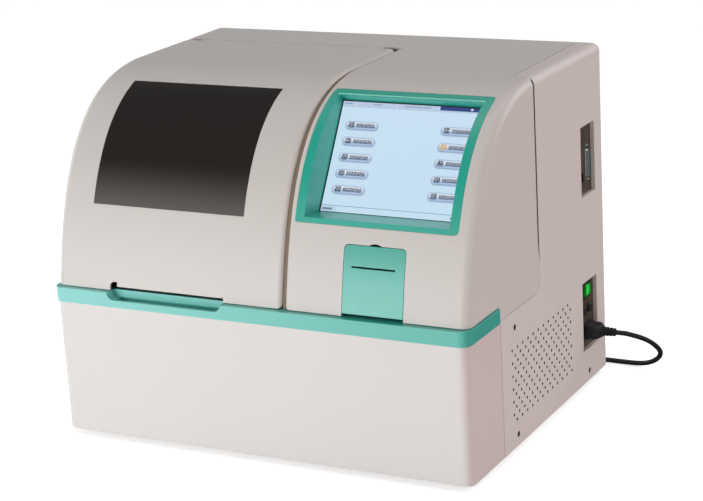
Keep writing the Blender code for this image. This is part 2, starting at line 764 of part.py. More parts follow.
def back_corner(axis, low, high, corner):
    """What lies outside the rounded edge between the top and the back."""
    outline = [(corner[0] + overrun, corner[1] + overrun), (corner[0] + overrun,
                                                            corner[1] - back_round)]
    for step in range(edge_steps + 1):
        turn = math.pi / 2 * step / edge_steps
        outline.append((corner[0] - back_round + back_round * math.cos(turn),
                        corner[1] - back_round + back_round * math.sin(turn)))
    outline.append((corner[0] - back_round, corner[1] + overrun))
    return prism(outline, axis, low, high)


def recess_pan(name, y, z):
    """A folded plate behind a side cut-out, its rim on the panel's inside."""
    rim = case_width - sheet - seat
    face = case_width - recess_depth
    pan = piece(name, block((face - sheet, rim), (y[0] - pan_lap, y[1] + pan_lap),
                            (z[0] - pan_lap, z[1] + pan_lap)), "zinc")
    cut(pan, block((face, rim + overrun), (y[0] - pan_lap + sheet / 2, y[1] + pan_lap - sheet / 2),
                   (z[0] - pan_lap + sheet / 2, z[1] + pan_lap - sheet / 2)))
    return pan


data_behind, data_under = 0.0420, 0.1590    # 25-pin connector's middle, from the back and top
data_y, data_z = case_depth - data_behind, case_height - data_under
data_size = (0.0125, 0.0530)
data_shell = (0.0085, 0.0390)
data_back = 0.010
data_to_round = (0.0225, 0.0440)        # round connector in front of it and above it
round_place = (data_y - data_to_round[0], data_z + data_to_round[1])
round_radius = 0.0045
data_to_small = (0.0215, 0.0150)        # small connector in front of it and below it
small_place = (data_y - data_to_small[0], data_z - data_to_small[1])
small_size = (0.011, 0.014)
board_thick = 0.0016
board_behind = (0.200, 0.015)
board_y = before_back(*board_behind)
board_round_data = (0.064, 0.076)       # board below and above the data connector's middle
board_z = (data_z - board_round_data[0], data_z + board_round_data[1])
inlet_behind = 0.0555                   # inlet's and switch's middle, from the back
inlet_height = 0.0705
switch_over_inlet = 0.0570
inlet_middle = (case_depth - inlet_behind, inlet_height)
switch_middle = (inlet_middle[0], inlet_height + switch_over_inlet)
switch_size = (0.031, 0.022)
switch_rim = 0.0015
axle_hole_end = 0.0021                  # blind end of the axle's hole, from the frame's outside
axle_end = 0.00225                      # and of the axle itself
rocker_end_gap = 0.0009
rocker_root = 0.0080                    # rocker behind the plate's face
switch_deep = 0.018
rocker_tilt = math.radians(7)
rocker_rise = 0.0025
fuse_spread = 0.0100                    # fuses in front of and behind the inlet's middle
fuse_over_inlet = 0.0295
fuse_places = (("front", (inlet_middle[0] - fuse_spread, inlet_height + fuse_over_inlet)),
               ("rear", (inlet_middle[0] + fuse_spread, inlet_height + fuse_over_inlet)))
fuse_radius = 0.0065
fuse_cap = 0.003
inlet_size = (0.0300, 0.0230)
inlet_mouth = (0.0245, 0.0170)
inlet_deep = 0.016


def make_data_panel():
    pan = recess_pan("connector_plate", *upper_recess)
    face = case_width - recess_depth
    board_face = face - sheet - data_back
    y, z = ends(data_y, data_shell[0]), ends(data_z, data_shell[1])
    cut(pan, block((face - sheet - overrun, face + overrun),
                   (y[0] - seat, y[1] + seat), (z[0] - seat, z[1] + seat)),
        rod("x", round_place, round_radius + seat, face - sheet - overrun, face + overrun, 12),
        block((face - sheet - overrun, face + overrun),
              ends(small_place[0], small_size[0] + seam), ends(small_place[1], small_size[1] + seam)))
    data = piece("data_connector", block((board_face + seat, face + recess_depth / 2), y, z), "blue")
    join(data, block((face + seat, face + sheet / 2), ends(data_y, data_size[0]),
                     ends(data_z, data_size[1])))
    profile = [(0, board_face + seat), (round_radius, board_face + seat),
               (round_radius, face + seat), (round_radius + sheet / 2, face + seat),
               (round_radius + sheet / 2, face + sheet), (round_radius / 2, face + sheet),
               (round_radius / 2, face), (0, face)]
    piece("round_connector", turned(profile, "x", round_place, 12), "steel", smooth=True)
    piece("small_connector", block((board_face + seat, face + sheet), ends(small_place[0], small_size[0]),
                                   ends(small_place[1], small_size[1])), "black")
    piece("main_board", block((board_face - board_thick, board_face), board_y, board_z), "board")


def make_power_panel():
    pan = recess_pan("power_plate", *lower_recess)
    face = case_width - recess_depth
    through = (face - sheet - overrun, face + overrun)
    y, z = ends(switch_middle[0], switch_size[0]), ends(switch_middle[1], switch_size[1])
    cut(pan, block(through, (y[0] + switch_rim - seat, y[1] - switch_rim + seat),
                   (z[0] + switch_rim - seat, z[1] - switch_rim + seat)))
    frame = piece("switch_frame", block((face - switch_deep, face + switch_rim),
                                        (y[0] + switch_rim, y[1] - switch_rim),
                                        (z[0] + switch_rim, z[1] - switch_rim)), "black")
    join(frame, block((face + seat, face + switch_rim), y, z))
    cut(frame, block((face - switch_deep + sheet, face + switch_rim + overrun),
                     (y[0] + switch_rim * 2, y[1] - switch_rim * 2),
                     (z[0] + switch_rim * 2, z[1] - switch_rim * 2)))
    axle = (face, switch_middle[0])
    cut(frame, rod("z", axle, journal + run_gap, z[0] + axle_hole_end, z[1] - axle_hole_end, 8))
    turn = pivot("rocker_axle", (axle[0], axle[1], switch_middle[1]))
    turn.rotation_euler = (0, 0, rocker_tilt)
    half = switch_size[0] / 2 - switch_rim * 2 - rocker_end_gap
    rise = switch_rim + rocker_rise
    outline = [(face - rocker_root, switch_middle[0] - half), (face + rise, switch_middle[0] - half),
               (face + switch_rim, switch_middle[0]), (face + rise, switch_middle[0] + half),
               (face - rocker_root, switch_middle[0] + half)]
    rocker = piece("power_rocker", prism(outline, "z", z[0] + switch_rim * 2 + seat,
                                         z[1] - switch_rim * 2 - seat), "green", turn)
    join(rocker, rod("z", axle, journal, z[0] + axle_end, z[1] - axle_end, 8))
    for place, (fuse_y, fuse_z) in fuse_places:
        cut(pan, rod("x", (fuse_y, fuse_z), fuse_radius - switch_rim + seat, *through, 12))
        profile = [(0, face - switch_deep), (fuse_radius - switch_rim, face - switch_deep),
                   (fuse_radius - switch_rim, face + seat), (fuse_radius, face + seat),
                   (fuse_radius, face + fuse_cap), (0, face + fuse_cap)]
        piece("fuse_holder_" + place, turned(profile, "x", (fuse_y, fuse_z), 12), "black",
              smooth=True)
    y, z = ends(inlet_middle[0], inlet_size[0]), ends(inlet_middle[1], inlet_size[1])
    lip = switch_rim
    cut(pan, block(through, (y[0] + lip - seat, y[1] - lip + seat), (z[0] + lip - seat, z[1] - lip + seat)))
    inlet = piece("mains_inlet", block((face - switch_deep, face + lip),
                                       (y[0] + lip, y[1] - lip), (z[0] + lip, z[1] - lip)), "black")
    join(inlet, block((face + seat, face + lip), y, z))
    cut(inlet, block((face - inlet_deep, face + lip + overrun),
                     ends(inlet_middle[0], inlet_mouth[0]), ends(inlet_middle[1], inlet_mouth[1])))


fan_across_share = 0.487
fan_up_share = 0.4914
fan_middle = (*across_cover(fan_across_share), up_cover(fan_up_share))
fan_size = 0.080
fan_deep = 0.025
fan_bore = 0.038
fan_hub = 0.018
fan_shaft = 0.003
fan_window_lap = 0.001                  # windows stop this far inside the bore
fan_window_share = 0.8                  # of the quarter between two struts
fan_blades = 7
fan_tip_gap = 0.0015
fan_blade_deep = 0.006                  # half the blade's depth along the shaft
fan_blade_lean = 0.006                  # and half its slant round the shaft
fan_blade_thick = 0.0008
strut = 0.004
grid_slot = (0.028, 0.005)
grid_rows = 7
grid_step = 0.009
port_places = (0.080, 0.120)            # x of the water and the waste port
port_height = 0.070
port_radius = 0.005
port_bore = 0.003
port_block = (0.075, 0.030, 0.024)


def make_back():
    low, high = case_depth - sheet, case_depth
    panel = piece("back_panel", block((sheet + seam, case_width - sheet - seam), (low, high),
                                      (0, case_height - back_round - wall - seam)), "shell")
    for row in range(grid_rows):
        z = fan_middle[1] + grid_step * (row - (grid_rows - 1) / 2)
        for side in (-1, 1):
            x = fan_middle[0] + side * (grid_slot[0] / 2 + sheet)
            cut(panel, block(ends(x, grid_slot[0]), (low - overrun, high + overrun),
                             ends(z, grid_slot[1])))
    for x in port_places:
        cut(panel, rod("y", (x, port_height), port_radius + seat, low - overrun, high + overrun, 12))
    middle = (sum(port_places) / len(port_places), port_height)
    rear = low - seat
    ports = piece("fluid_ports", block(ends(middle[0], port_block[0]), (rear - port_block[1], rear),
                                       ends(middle[1], port_block[2])), "steel")
    for x in port_places:
        join(ports, rod("y", (x, port_height), port_radius, rear - sheet, high + port_reach, 12))
    for x in port_places:
        cut(ports, rod("y", (x, port_height), port_bore, rear - sheet, high + port_reach + overrun, 8))
    make_fan(low - seat)


def make_fan(rear):
    front = rear - fan_deep
    frame = piece("fan_frame", prism(plate(ends(fan_middle[0], fan_size), ends(fan_middle[1], fan_size),
                                           strut, 2), "y", front, rear), "black")
    cut(frame, rod("y", fan_middle, fan_bore, front + strut, rear + overrun, 24),
        *fan_windows(front))
    join(frame, rod("y", fan_middle, fan_shaft, front + strut / 2, front + fan_deep / 2, 8))
    turn = pivot("fan_shaft", (fan_middle[0], rear - fan_deep / 2, fan_middle[1]))
    bore = fan_shaft + run_gap
    start = front + strut + seam
    profile = [(bore, start), (fan_hub, start), (fan_hub, rear - overrun), (0, rear - overrun),
               (0, front + fan_deep / 2 + seam), (bore, front + fan_deep / 2 + seam)]
    rotor = piece("fan_rotor", turned(profile, "y", fan_middle, 14), "black", turn)
    middle = (start + rear - overrun) / 2
    tip = math.sqrt((fan_bore - fan_tip_gap) ** 2 - (fan_blade_lean + fan_blade_thick) ** 2)
    for blade in range(fan_blades):
        angle = 2 * math.pi * blade / fan_blades
        out = Vector((math.cos(angle), 0, math.sin(angle)))
        round_way = Vector((-math.sin(angle), 0, math.cos(angle)))
        slant = Vector((0, fan_blade_deep, 0)) + round_way * fan_blade_lean
        thick = round_way * fan_blade_thick
        hub = Vector((fan_middle[0], middle, fan_middle[1]))
        sections = []
        for reach in (fan_hub - overrun, tip):
            centre = hub + out * reach
            sections.append([centre - slant - thick, centre + slant - thick,
                             centre + slant + thick, centre - slant + thick])
        combine(rotor, loft(sections), "UNION", "MANIFOLD")


def fan_windows(front):
    """Four openings between the fan's struts."""
    shapes = []
    for quarter in range(4):
        outline = []
        middle = math.pi / 2 * quarter + math.pi / 4
        for radius, steps in ((fan_hub, range(-2, 3)), (fan_bore - fan_window_lap, range(2, -3, -1))):
            for step in steps:
                angle = middle + math.pi / 4 * fan_window_share * step / 2
                outline.append((fan_middle[0] + radius * math.cos(angle),
                                fan_middle[1] + radius * math.sin(angle)))
        shapes.append(prism(outline, "y", front - overrun, front + strut + overrun))
    return shapes


# Working deck under the lid

deck_below_belt = 0.0085
deck_top = belt_top - deck_below_belt
deck_side = 0.008                       # deck's left edge from the case's side
deck_under_cover = 0.0054               # how far it reaches under the fixed cover
deck_front = 0.022
deck_behind = 0.058                     # deck's back edge from the case's back
deck_x = (deck_side, fixed_left + deck_under_cover)
deck_y = (deck_front, case_depth - deck_behind)
wall_on_deck = 0.004
bay_back = deck_y[1] - wall_on_deck
deck_centre = sum(deck_y) / len(deck_y)
tub_wall = 0.003
carousel_place = (0.118, 0.003)         # from the case's side, and behind the deck's middle
carousel_middle = (carousel_place[0], deck_centre + carousel_place[1])
carousel_radius = 0.098                 # tub's outside
carousel_height = 0.060
rotor_place = (0.276, -0.094)
rotor_middle = (rotor_place[0], deck_centre + rotor_place[1])
rotor_radius = 0.056
rotor_height = 0.046
cover_thick = 0.003
cover_lip = 0.0035
carousel_ring = 0.084                   # the vessels' circle
rotor_ring = 0.044
vessel_room = 0.007                     # half width of the vessels' channel
channel_rise = 0.023                    # channel's floor above the deck
channel_floor = deck_top + channel_rise
waist_share = 0.75
brim_share = 0.7
knob_small_share = 0.7
knob = (0.013, 0.012)                   # radius and height
shaft_radius = 0.004
web_hub = 0.012                         # wheel's hub at its foot
web_top = 0.008                         # and at its top
motor_size = 0.042
motor_corner = 0.0042
motor_deep = 0.040
motor_shaft = 0.014                     # how far a shaft reaches into its motor
needle_hole = 0.005


def make_deck():
    under = deck_top - sheet
    deck = piece("work_deck", block(deck_x, deck_y, (sheet + seat, deck_top)), "white")
    cut(deck, block((deck_x[0] + sheet, deck_x[1] - sheet), (deck_y[0] - overrun, deck_y[1] + overrun),
                    (0, under)))
    for centre, radius in ((carousel_middle, shaft_radius), (rotor_middle, shaft_radius),
                           (column_middle, column_radius)):
        cut(deck, rod("z", centre, radius + seam, under - overrun, deck_top + overrun, 12))
    piece("bay_back_wall", block((deck_x[0], fixed_left - seam), (bay_back, bay_back + sheet),
                                 (deck_top + seat, case_height - wall - seat)), "white")


def make_tub(name, middle, radius, height, sides):
    floor = deck_top + seat
    bore = shaft_radius + seam
    inner = radius - tub_wall
    profile = [(bore, floor), (radius, floor), (radius, floor + height), (inner, floor + height),
               (inner, floor + tub_wall), (bore, floor + tub_wall)]
    return piece(name, turned(profile, "z", middle, sides), "white", smooth=True)


def make_tub_cover(name, middle, radius, height, sides, knob_share, hole):
    rest = deck_top + seat + height + seat
    inner = radius - tub_wall - seam
    top = rest + cover_thick
    knob_radius, knob_height = knob[0] * knob_share, knob[1] * knob_share
    profile = [(0, rest), (inner - cover_lip, rest), (inner - cover_lip, rest - cover_lip),
               (inner, rest - cover_lip), (inner, rest), (radius, rest), (radius, top),
               (knob_radius * waist_share, top), (knob_radius * waist_share, top + knob_height / 2),
               (knob_radius, top + knob_height * brim_share), (knob_radius, top + knob_height),
               (0, top + knob_height)]
    cover = piece(name, turned(profile, "z", middle, sides), "smoke", smooth=True)
    cut(cover, rod("z", hole, needle_hole, rest - cover_lip * 2, top + overrun, 12))
    return cover


def make_wheel(name, middle, radius, height, ring, sides, turn_name):
    """A turned wheel with its vessels' channel, on its motor's shaft."""
    floor = deck_top + seat + tub_wall
    top = floor + height - tub_wall - cover_lip * 2
    outer = ring + vessel_room + tub_wall / 2
    web = floor + overrun
    carrier = pivot(turn_name, (middle[0], middle[1], floor))
    profile = [(0, deck_top - sheet - motor_shaft), (shaft_radius, deck_top - sheet - motor_shaft),
               (shaft_radius, web), (outer, web), (outer, top),
               (outer - tub_wall / 2, top), (outer - tub_wall / 2, channel_floor),
               (ring - vessel_room, channel_floor), (ring - vessel_room, top),
               (ring - vessel_room - tub_wall / 2, top),
               (ring - vessel_room - tub_wall / 2, web + tub_wall),
               (web_hub, web + tub_wall), (web_top, top), (0, top)]
    return piece(name, turned(profile, "z", middle, sides), "white", carrier, smooth=True)


def make_motor(name, middle):
    top = deck_top - sheet - seat
    motor = piece(name, prism(plate(ends(middle[0], motor_size), ends(middle[1], motor_size),
                                    motor_corner, 1), "z", top - motor_deep, top), "black")
    cut(motor, rod("z", middle, shaft_radius + run_gap, top - motor_shaft - overrun, top + overrun, 12))


def make_wheels():
    make_tub("carousel_tub", carousel_middle, carousel_radius, carousel_height, 40)
    make_tub_cover("carousel_cover", carousel_middle, carousel_radius, carousel_height, 40, 1,
                   reach_point(carousel_middle, carousel_ring, -1))
    make_wheel("reagent_carousel", carousel_middle, carousel_radius, carousel_height,
               carousel_ring, 40, "carousel_shaft")
    make_motor("carousel_motor", carousel_middle)
    make_tub("rotor_tub", rotor_middle, rotor_radius, rotor_height, 28)
    make_tub_cover("rotor_cover", rotor_middle, rotor_radius, rotor_height, 28, knob_small_share,
                   reach_point(rotor_middle, rotor_ring, 1))
    make_wheel("reaction_rotor", rotor_middle, rotor_radius, rotor_height, rotor_ring, 28,
               "rotor_shaft")
    make_motor("rotor_motor", rotor_middle)


# Probe: a column that lifts, an arm that swings on it, and the needle

column_place = (0.268, 0.046)
column_middle = (column_place[0], deck_centre + column_place[1])
column_radius = 0.008
probe_lift = 0.036                      # column's stroke, down from rest
column_spare = 0.026                    # what stays below the deck's top besides it
column_low = deck_top - probe_lift - column_spare
guide_size = 0.034
guide_corner = 0.00425
guide_height = 0.055
arm_length = 0.115
arm_rise = 0.106                        # arm above the deck's top
arm_low = deck_top + arm_rise
arm_thick = 0.016
arm_hub = 0.017
arm_tip = 0.009
arm_edge = 0.002
arm_rest = math.radians(242)
needle_radius = 0.0008
needle_length = 0.0345
needle_tip = arm_low - needle_length
needle_collar = 0.004
well_radius = 0.009
well_bore = 0.006
well_foot = 0.0126
needle_over_well = 0.0075
well_top = needle_tip - needle_over_well
spigot = 0.005


def reach_point(middle, ring, side):
    """Where the needle's circle crosses a wheel's circle, on the side that is free."""
    away = Vector(middle) - Vector(column_middle)
    span = away.length
    offset = math.acos((span ** 2 + arm_length ** 2 - ring ** 2) / (2 * span * arm_length))
    angle = math.atan2(away.y, away.x) + side * offset
    return (column_middle[0] + arm_length * math.cos(angle),
            column_middle[1] + arm_length * math.sin(angle))


def make_probe():
    floor = deck_top + seat
    guide = piece("column_guide", prism(plate(ends(column_middle[0], guide_size),
                                              ends(column_middle[1], guide_size), guide_corner, 2),
                                        "z", floor, floor + guide_height), "white")
    cut(guide, rod("z", column_middle, column_radius + run_gap, floor - overrun,
                   floor + guide_height + overrun, 16))
    lift = pivot("probe_lift", (*column_middle, floor))
    shaft = [(0, column_low), (column_radius, column_low), (column_radius, arm_low - seat),
             (spigot, arm_low - seat), (spigot, arm_low + arm_thick / 2), (0, arm_low + arm_thick / 2)]
    piece("probe_column", turned(shaft, "z", column_middle, 16), "steel", lift, smooth=True)
    swing = pivot("probe_swing", (*column_middle, arm_low))
    tip = (column_middle[0] + arm_length * math.cos(arm_rest),
           column_middle[1] + arm_length * math.sin(arm_rest))
    outline = []
    for step in range(9):
        angle = arm_rest + math.pi / 2 + math.pi * step / 8
        outline.append((column_middle[0] + arm_hub * math.cos(angle),
                        column_middle[1] + arm_hub * math.sin(angle)))
    for step in range(9):
        angle = arm_rest - math.pi / 2 + math.pi * step / 8
        outline.append((tip[0] + arm_tip * math.cos(angle), tip[1] + arm_tip * math.sin(angle)))
    arm = piece("probe_arm", prism(outline, "z", arm_low, arm_low + arm_thick), "white", swing)
    soften(arm, arm_edge, 1, math.radians(60))
    cut(arm, rod("z", column_middle, spigot + run_gap, arm_low - overrun,
                 arm_low + arm_thick / 2 + overrun, 12))
    collar_low = arm_low - seat - needle_collar
    needle = [(0, needle_tip), (needle_radius, needle_tip + needle_radius * 2),
              (needle_radius, collar_low), (needle_collar, collar_low + needle_collar / 2),
              (needle_collar, arm_low - seat), (0, arm_low - seat)]
    piece("probe_needle", turned(needle, "z", tip, 8), "steel", swing, smooth=True)
    well = [(0, floor), (well_foot, floor), (well_foot, floor + sheet),
            (well_radius, floor + sheet), (well_radius, well_top), (well_bore, well_top),
            (well_bore, channel_floor), (0, channel_floor)]
    piece("wash_well", turned(well, "z", tip, 16), "steel", smooth=True)


# Other works under the deck and behind the vent

supply_x_shares = (0.2305, 0.8619)
supply_behind = (0.310, 0.140)
supply_x = across_cover(*supply_x_shares)
supply_y = before_back(*supply_behind)
supply_height = 0.060
photometer_before = (0.062, 0.024)      # photometer's sides left of the rotor's middle
photometer_across = (0.038, 0.032)      # and its ends in front of it and behind it
photometer_x = (rotor_middle[0] - photometer_before[0], rotor_middle[0] - photometer_before[1])
photometer_y = (rotor_middle[1] - photometer_across[0], rotor_middle[1] + photometer_across[1])
photometer_deep = 0.045
syringe_place = (0.045, 0.057)          # from the case's side, and from the deck's back edge
syringe_middle = (syringe_place[0], deck_y[1] - syringe_place[1])
syringe_radius = 0.009
syringe_bore = 0.0055
syringe_flange = 0.0135
plunger_rod = 0.0026
syringe_stroke = 0.045
syringe_ends = 0.030
syringe_length = syringe_stroke + syringe_ends


def make_works():
    tray_top = sheet + seat
    under = deck_top - sheet - seat
    supply = piece("power_supply", block(supply_x, supply_y, (tray_top, tray_top + supply_height)),
                   "zinc")
    soften(supply, sheet, 1)
    piece("photometer", block(photometer_x, photometer_y, (under - photometer_deep, under)), "black")
    barrel = [(0, under - overrun), (syringe_bore, under - overrun),
              (syringe_bore, under - syringe_length), (syringe_radius, under - syringe_length),
              (syringe_radius, under - overrun * 2), (syringe_flange, under - overrun * 2),
              (syringe_flange, under), (0, under)]
    piece("syringe_barrel", turned(barrel, "z", syringe_middle, 14), "smoke", smooth=True)
    slide = pivot("syringe_slide", (*syringe_middle, under))
    head = syringe_bore - run_gap
    low = under - syringe_length - overrun * 2
    plunger = [(0, low - overrun * 2), (syringe_radius, low - overrun * 2), (syringe_radius, low),
               (plunger_rod, low), (plunger_rod, under - overrun * 5), (head, under - overrun * 5),
               (head, under - overrun * 2), (0, under - overrun * 2)]
    piece("syringe_plunger", turned(plunger, "z", syringe_middle, 12), "steel", slide, smooth=True)


# Mains lead: plug in the inlet, free lead, coil on the table, plug at its far end

lead_radius = 0.0035
table = -foot_height
plug_size = (0.0270, 0.0200)            # y and z
plug_nose = (0.0235, 0.0160)
plug_back = 0.618
plug_bump = 0.002
relief_length = 0.020
relief_radius = 0.0055
relief_ribs = 4
relief_collar = 0.0077
relief_root = 0.00715                   # first rib's radius; the last has relief_radius
relief_groove_share = 0.82              # groove's radius, of its rib's
rib_shares = (0.15, 0.6, 0.7)           # rib's start and end and the groove's start, of a rib's step
plug_hump = 0.009                       # width of the hump on the plug's top
plug_hump_length = 0.008
coil_middle = (0.500, 0.541)
coil_mid_radius = 0.042
coil_pitch = 0.0077
coil_layer = 0.0077
lead_lift = 0.0001                      # clear of the table
coil_turns = 2.25                       # in each of the two layers
coil_points = 24                        # in a loop
tail_steps = 6
climb_in_share = 0.5
far_run = 0.100
far_plug_radius = 0.0185
far_plug_length = 0.045
far_plug_neck = (0.00455, 0.0056)       # its neck's radius at the lead and at the body
far_plug_shoulder = 0.0139
far_plug_shares = (1 / 3, 0.5, 0.6)     # neck's end, shoulder and full body, of the plug's length
pin_size = (0.0024, 0.019, 0.0095)      # contact pin radius, length and half spacing
lead_drop = (                           # free lead from the relief to the coil (x, y, z)
    (0.6550, 0.4052, 0.0698),
    (0.6750, 0.4139, 0.0620),
    (0.6845, 0.4278, 0.0496),
    (0.6859, 0.4459, 0.0334),
    (0.6758, 0.4639, 0.0171),
    (0.6584, 0.4799, 0.0035),
    (0.6400, 0.4880, -0.0030),
    (0.6180, 0.4900, -0.0044),
    (0.5946, 0.4903, -0.0044),
    (0.5600, 0.4903, -0.0044),
    (0.5250, 0.4903, -0.0044),
)


def smooth_route(points, spacing):
    """Points along a smooth curve through a route, at about the same spacing."""
    points = [Vector(point) for point in points]
    fine = []
    padded = [points[0] * 2 - points[1]] + points + [points[-1] * 2 - points[-2]]
    for a, b, c, d in zip(padded, padded[1:], padded[2:], padded[3:]):
        for step in range(12):
            t = step / 12
            fine.append(0.5 * ((2 * b) + (c - a) * t + (2 * a - 5 * b + 4 * c - d) * t ** 2
                               + (3 * b - a - 3 * c + d) * t ** 3))
    fine.append(points[-1])
    total = sum((after - before).length for before, after in zip(fine, fine[1:]))
    count = max(2, round(total / spacing))
    route, walked, target = [fine[0]], 0, total / count
    for before, after in zip(fine, fine[1:]):
        length = (after - before).length
        while walked + length >= target * len(route) and len(route) < count:
            share = (target * len(route) - walked) / length
            route.append(before.lerp(after, share))
        walked += length
    return route + [fine[-1]]


def lead(name, route, detail):
    curve = bpy.data.curves.new(name, "CURVE")
    curve.dimensions = "3D"
    curve.bevel_depth = lead_radius
    curve.bevel_resolution = detail
    curve.use_fill_caps = True
    spline = curve.splines.new("POLY")
    spline.points.add(len(route) - 1)
    for point, place in zip(spline.points, route):
        point.co = (*place, 1)
    spline.use_smooth = True
    made = bpy.data.objects.new(name, curve)
    bpy.context.scene.collection.objects.link(made)
    made.parent = case_corner
    curve.materials.append(material_for(name, "lead"))


def coil_route():
    """In along the table and out again on top, clockwise seen from above."""
    outer = coil_mid_radius + coil_pitch * coil_turns / 2
    inner = outer - coil_pitch * coil_turns
    low = table + lead_radius + lead_lift
    spiral = round(coil_turns * coil_points)
    climb = coil_points // 2
    route = []
    for step in range(2 * spiral + climb + 1):
        if step <= spiral:
            radius, rise = outer - (outer - inner) * step / spiral, 0
        elif step < spiral + climb:
            share = (step - spiral) / climb
            radius = inner - coil_pitch / 2 * math.sin(math.pi * share) * climb_in_share
            rise = coil_layer * share * share * (3 - 2 * share)
        else:
            radius = inner + (outer - inner) * (step - spiral - climb) / spiral
            rise = coil_layer
        angle = -math.pi / 2 - 2 * math.pi * step / coil_points
        route.append(Vector((coil_middle[0] + radius * math.cos(angle),
                             coil_middle[1] + radius * math.sin(angle), low + rise)))
    return route


def least_gap(route):
    """The least gap of a tube to its own later turns."""
    least = math.inf
    for i, place in enumerate(route):
        for other in route[i + coil_points // 3:]:
            least = min(least, (place - other).length - 2 * lead_radius)
    return least


def make_lead():
    face = case_width - recess_depth
    y, z = inlet_middle
    plug_front = face + switch_rim + seam
    plug = piece("inlet_plug", block((plug_front, plug_back),
                                     ends(y, plug_size[0]), ends(z, plug_size[1])), "rubber")
    soften(plug, plug_bump, 1)
    join(plug, block((face - inlet_deep + seam, plug_back - plug_bump),
                     ends(y, plug_nose[0]), ends(z, plug_nose[1])),
         block((plug_back - plug_hump_length, plug_back - plug_bump),
               ends(y, plug_hump), (z, z + plug_size[1] / 2 + plug_bump)))
    start = plug_back
    step = relief_length / relief_ribs
    profile = [(0, start - overrun), (relief_collar, start - overrun)]
    for rib in range(relief_ribs):
        radius = relief_root + (relief_radius - relief_root) * rib / (relief_ribs - 1)
        rib_start, rib_end, groove = (start + step * (rib + share) for share in rib_shares)
        profile += [(radius, rib_start), (radius, rib_end), (radius * relief_groove_share, groove)]
    profile.append((0, start + relief_length))
    join(plug, turned(profile, "x", inlet_middle, 12))
    exit_x = start + relief_length + seat
    first = [(exit_x, y, z), (exit_x + 2 * lead_radius, y, z)]
    coil = coil_route()
    straight = Vector((2 * lead_radius, 0, 0))
    last = coil[0] + straight + Vector((seat, 0, 0))
    final = [last + straight, last]
    route = smooth_route(first + list(lead_drop) + final, lead_radius * 5)
    lead("mains_lead", route, 2)
    far_start = coil[-1]
    rise = table + far_plug_radius + lead_lift - far_start.z
    tail = []
    for step in range(1, tail_steps + 1):
        share = step / tail_steps
        tail.append(far_start + Vector((-far_run * share, 0, rise * share * share * (3 - 2 * share))))
    tail.append(tail[-1] - straight)
    lead("lead_coil", [coil[0] + straight] + coil + tail, 1)
    print("lead coil, least gap to itself", round(least_gap(coil), 5),
          "loops", round((len(coil) - 1) / coil_points, 2),
          "length", round(sum((b - a).length for a, b in zip(coil, coil[1:])), 3))
    tip = tail[-1].x - seat
    centre = (tail[-1].y, tail[-1].z)
    neck_end, shoulder, body = (tip - far_plug_length * share for share in far_plug_shares)
    profile = [(0, tip), (far_plug_neck[0], tip), (far_plug_neck[1], neck_end),
               (far_plug_shoulder, shoulder), (far_plug_radius - seat, body),
               (far_plug_radius - seat, tip - far_plug_length), (0, tip - far_plug_length)]
    plug = piece("wall_plug", turned(profile, "x", centre, 16), "rubber", smooth=True)
    for side in (-1, 1):
        join(plug, rod("x", (centre[0] + side * pin_size[2], centre[1]), pin_size[0],
                       tip - far_plug_length - pin_size[1], tip - far_plug_length + overrun, 8))


make_base()
make_front()
make_lid()
make_hinges()
make_fixed_cover()
make_screen()
make_printer()
make_sides()
make_data_panel()
make_power_panel()
make_back()
make_deck()
make_wheels()
make_probe()
make_works()
make_lead()
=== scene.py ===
import bpy
import json
import math
from functools import partial
from mathutils import Matrix, Vector

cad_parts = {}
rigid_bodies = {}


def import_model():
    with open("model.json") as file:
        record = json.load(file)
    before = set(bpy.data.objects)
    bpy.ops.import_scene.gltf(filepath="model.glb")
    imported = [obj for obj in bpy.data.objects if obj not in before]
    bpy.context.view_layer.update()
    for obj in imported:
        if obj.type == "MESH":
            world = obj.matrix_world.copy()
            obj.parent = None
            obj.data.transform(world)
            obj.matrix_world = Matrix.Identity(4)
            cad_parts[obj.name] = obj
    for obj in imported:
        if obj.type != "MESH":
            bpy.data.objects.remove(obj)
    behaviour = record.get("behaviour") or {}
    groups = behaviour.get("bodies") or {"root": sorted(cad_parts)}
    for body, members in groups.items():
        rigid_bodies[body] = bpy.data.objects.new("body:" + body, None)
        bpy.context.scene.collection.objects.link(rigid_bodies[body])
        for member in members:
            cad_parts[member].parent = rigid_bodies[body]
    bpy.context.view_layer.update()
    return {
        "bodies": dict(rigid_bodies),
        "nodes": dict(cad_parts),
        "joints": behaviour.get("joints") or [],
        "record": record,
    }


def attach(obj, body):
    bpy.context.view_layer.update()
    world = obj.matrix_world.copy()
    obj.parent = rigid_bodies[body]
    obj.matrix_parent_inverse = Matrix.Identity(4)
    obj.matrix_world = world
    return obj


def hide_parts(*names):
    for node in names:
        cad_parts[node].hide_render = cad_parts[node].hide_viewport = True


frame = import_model()
nodes = frame["nodes"]
bodyOf = {node: body for body, members in frame["record"]["behaviour"]["bodies"].items() for node in members}
print("frame loaded:", len(nodes), "nodes")

# Places are in millimetres from the case's lower front left corner, as in the solid model
case = {"wide": 600.0, "deep": 460.0, "high": 463.0}
corner = Vector((-0.300, -0.234, 0.008))
past = 2.0  # how far a cutter reaches past what it cuts


def at(x, y, z):
    return corner + Vector((x, y, z)) / 1000


def onSide(axis, level, a, b):
    return {"x": at(level, a, b), "y": at(a, level, b), "z": at(a, b, level)}[axis]


def pick(size, names):
    return [size[name] for name in names.split()]


# Camera and light

camera = {"place": at(1566.98, -2067.48, 996.21), "turn": 28.36, "down": 16.724, "tilt": -3.354, "lens": 103.46,
          "sensor": 36, "reach": 60}


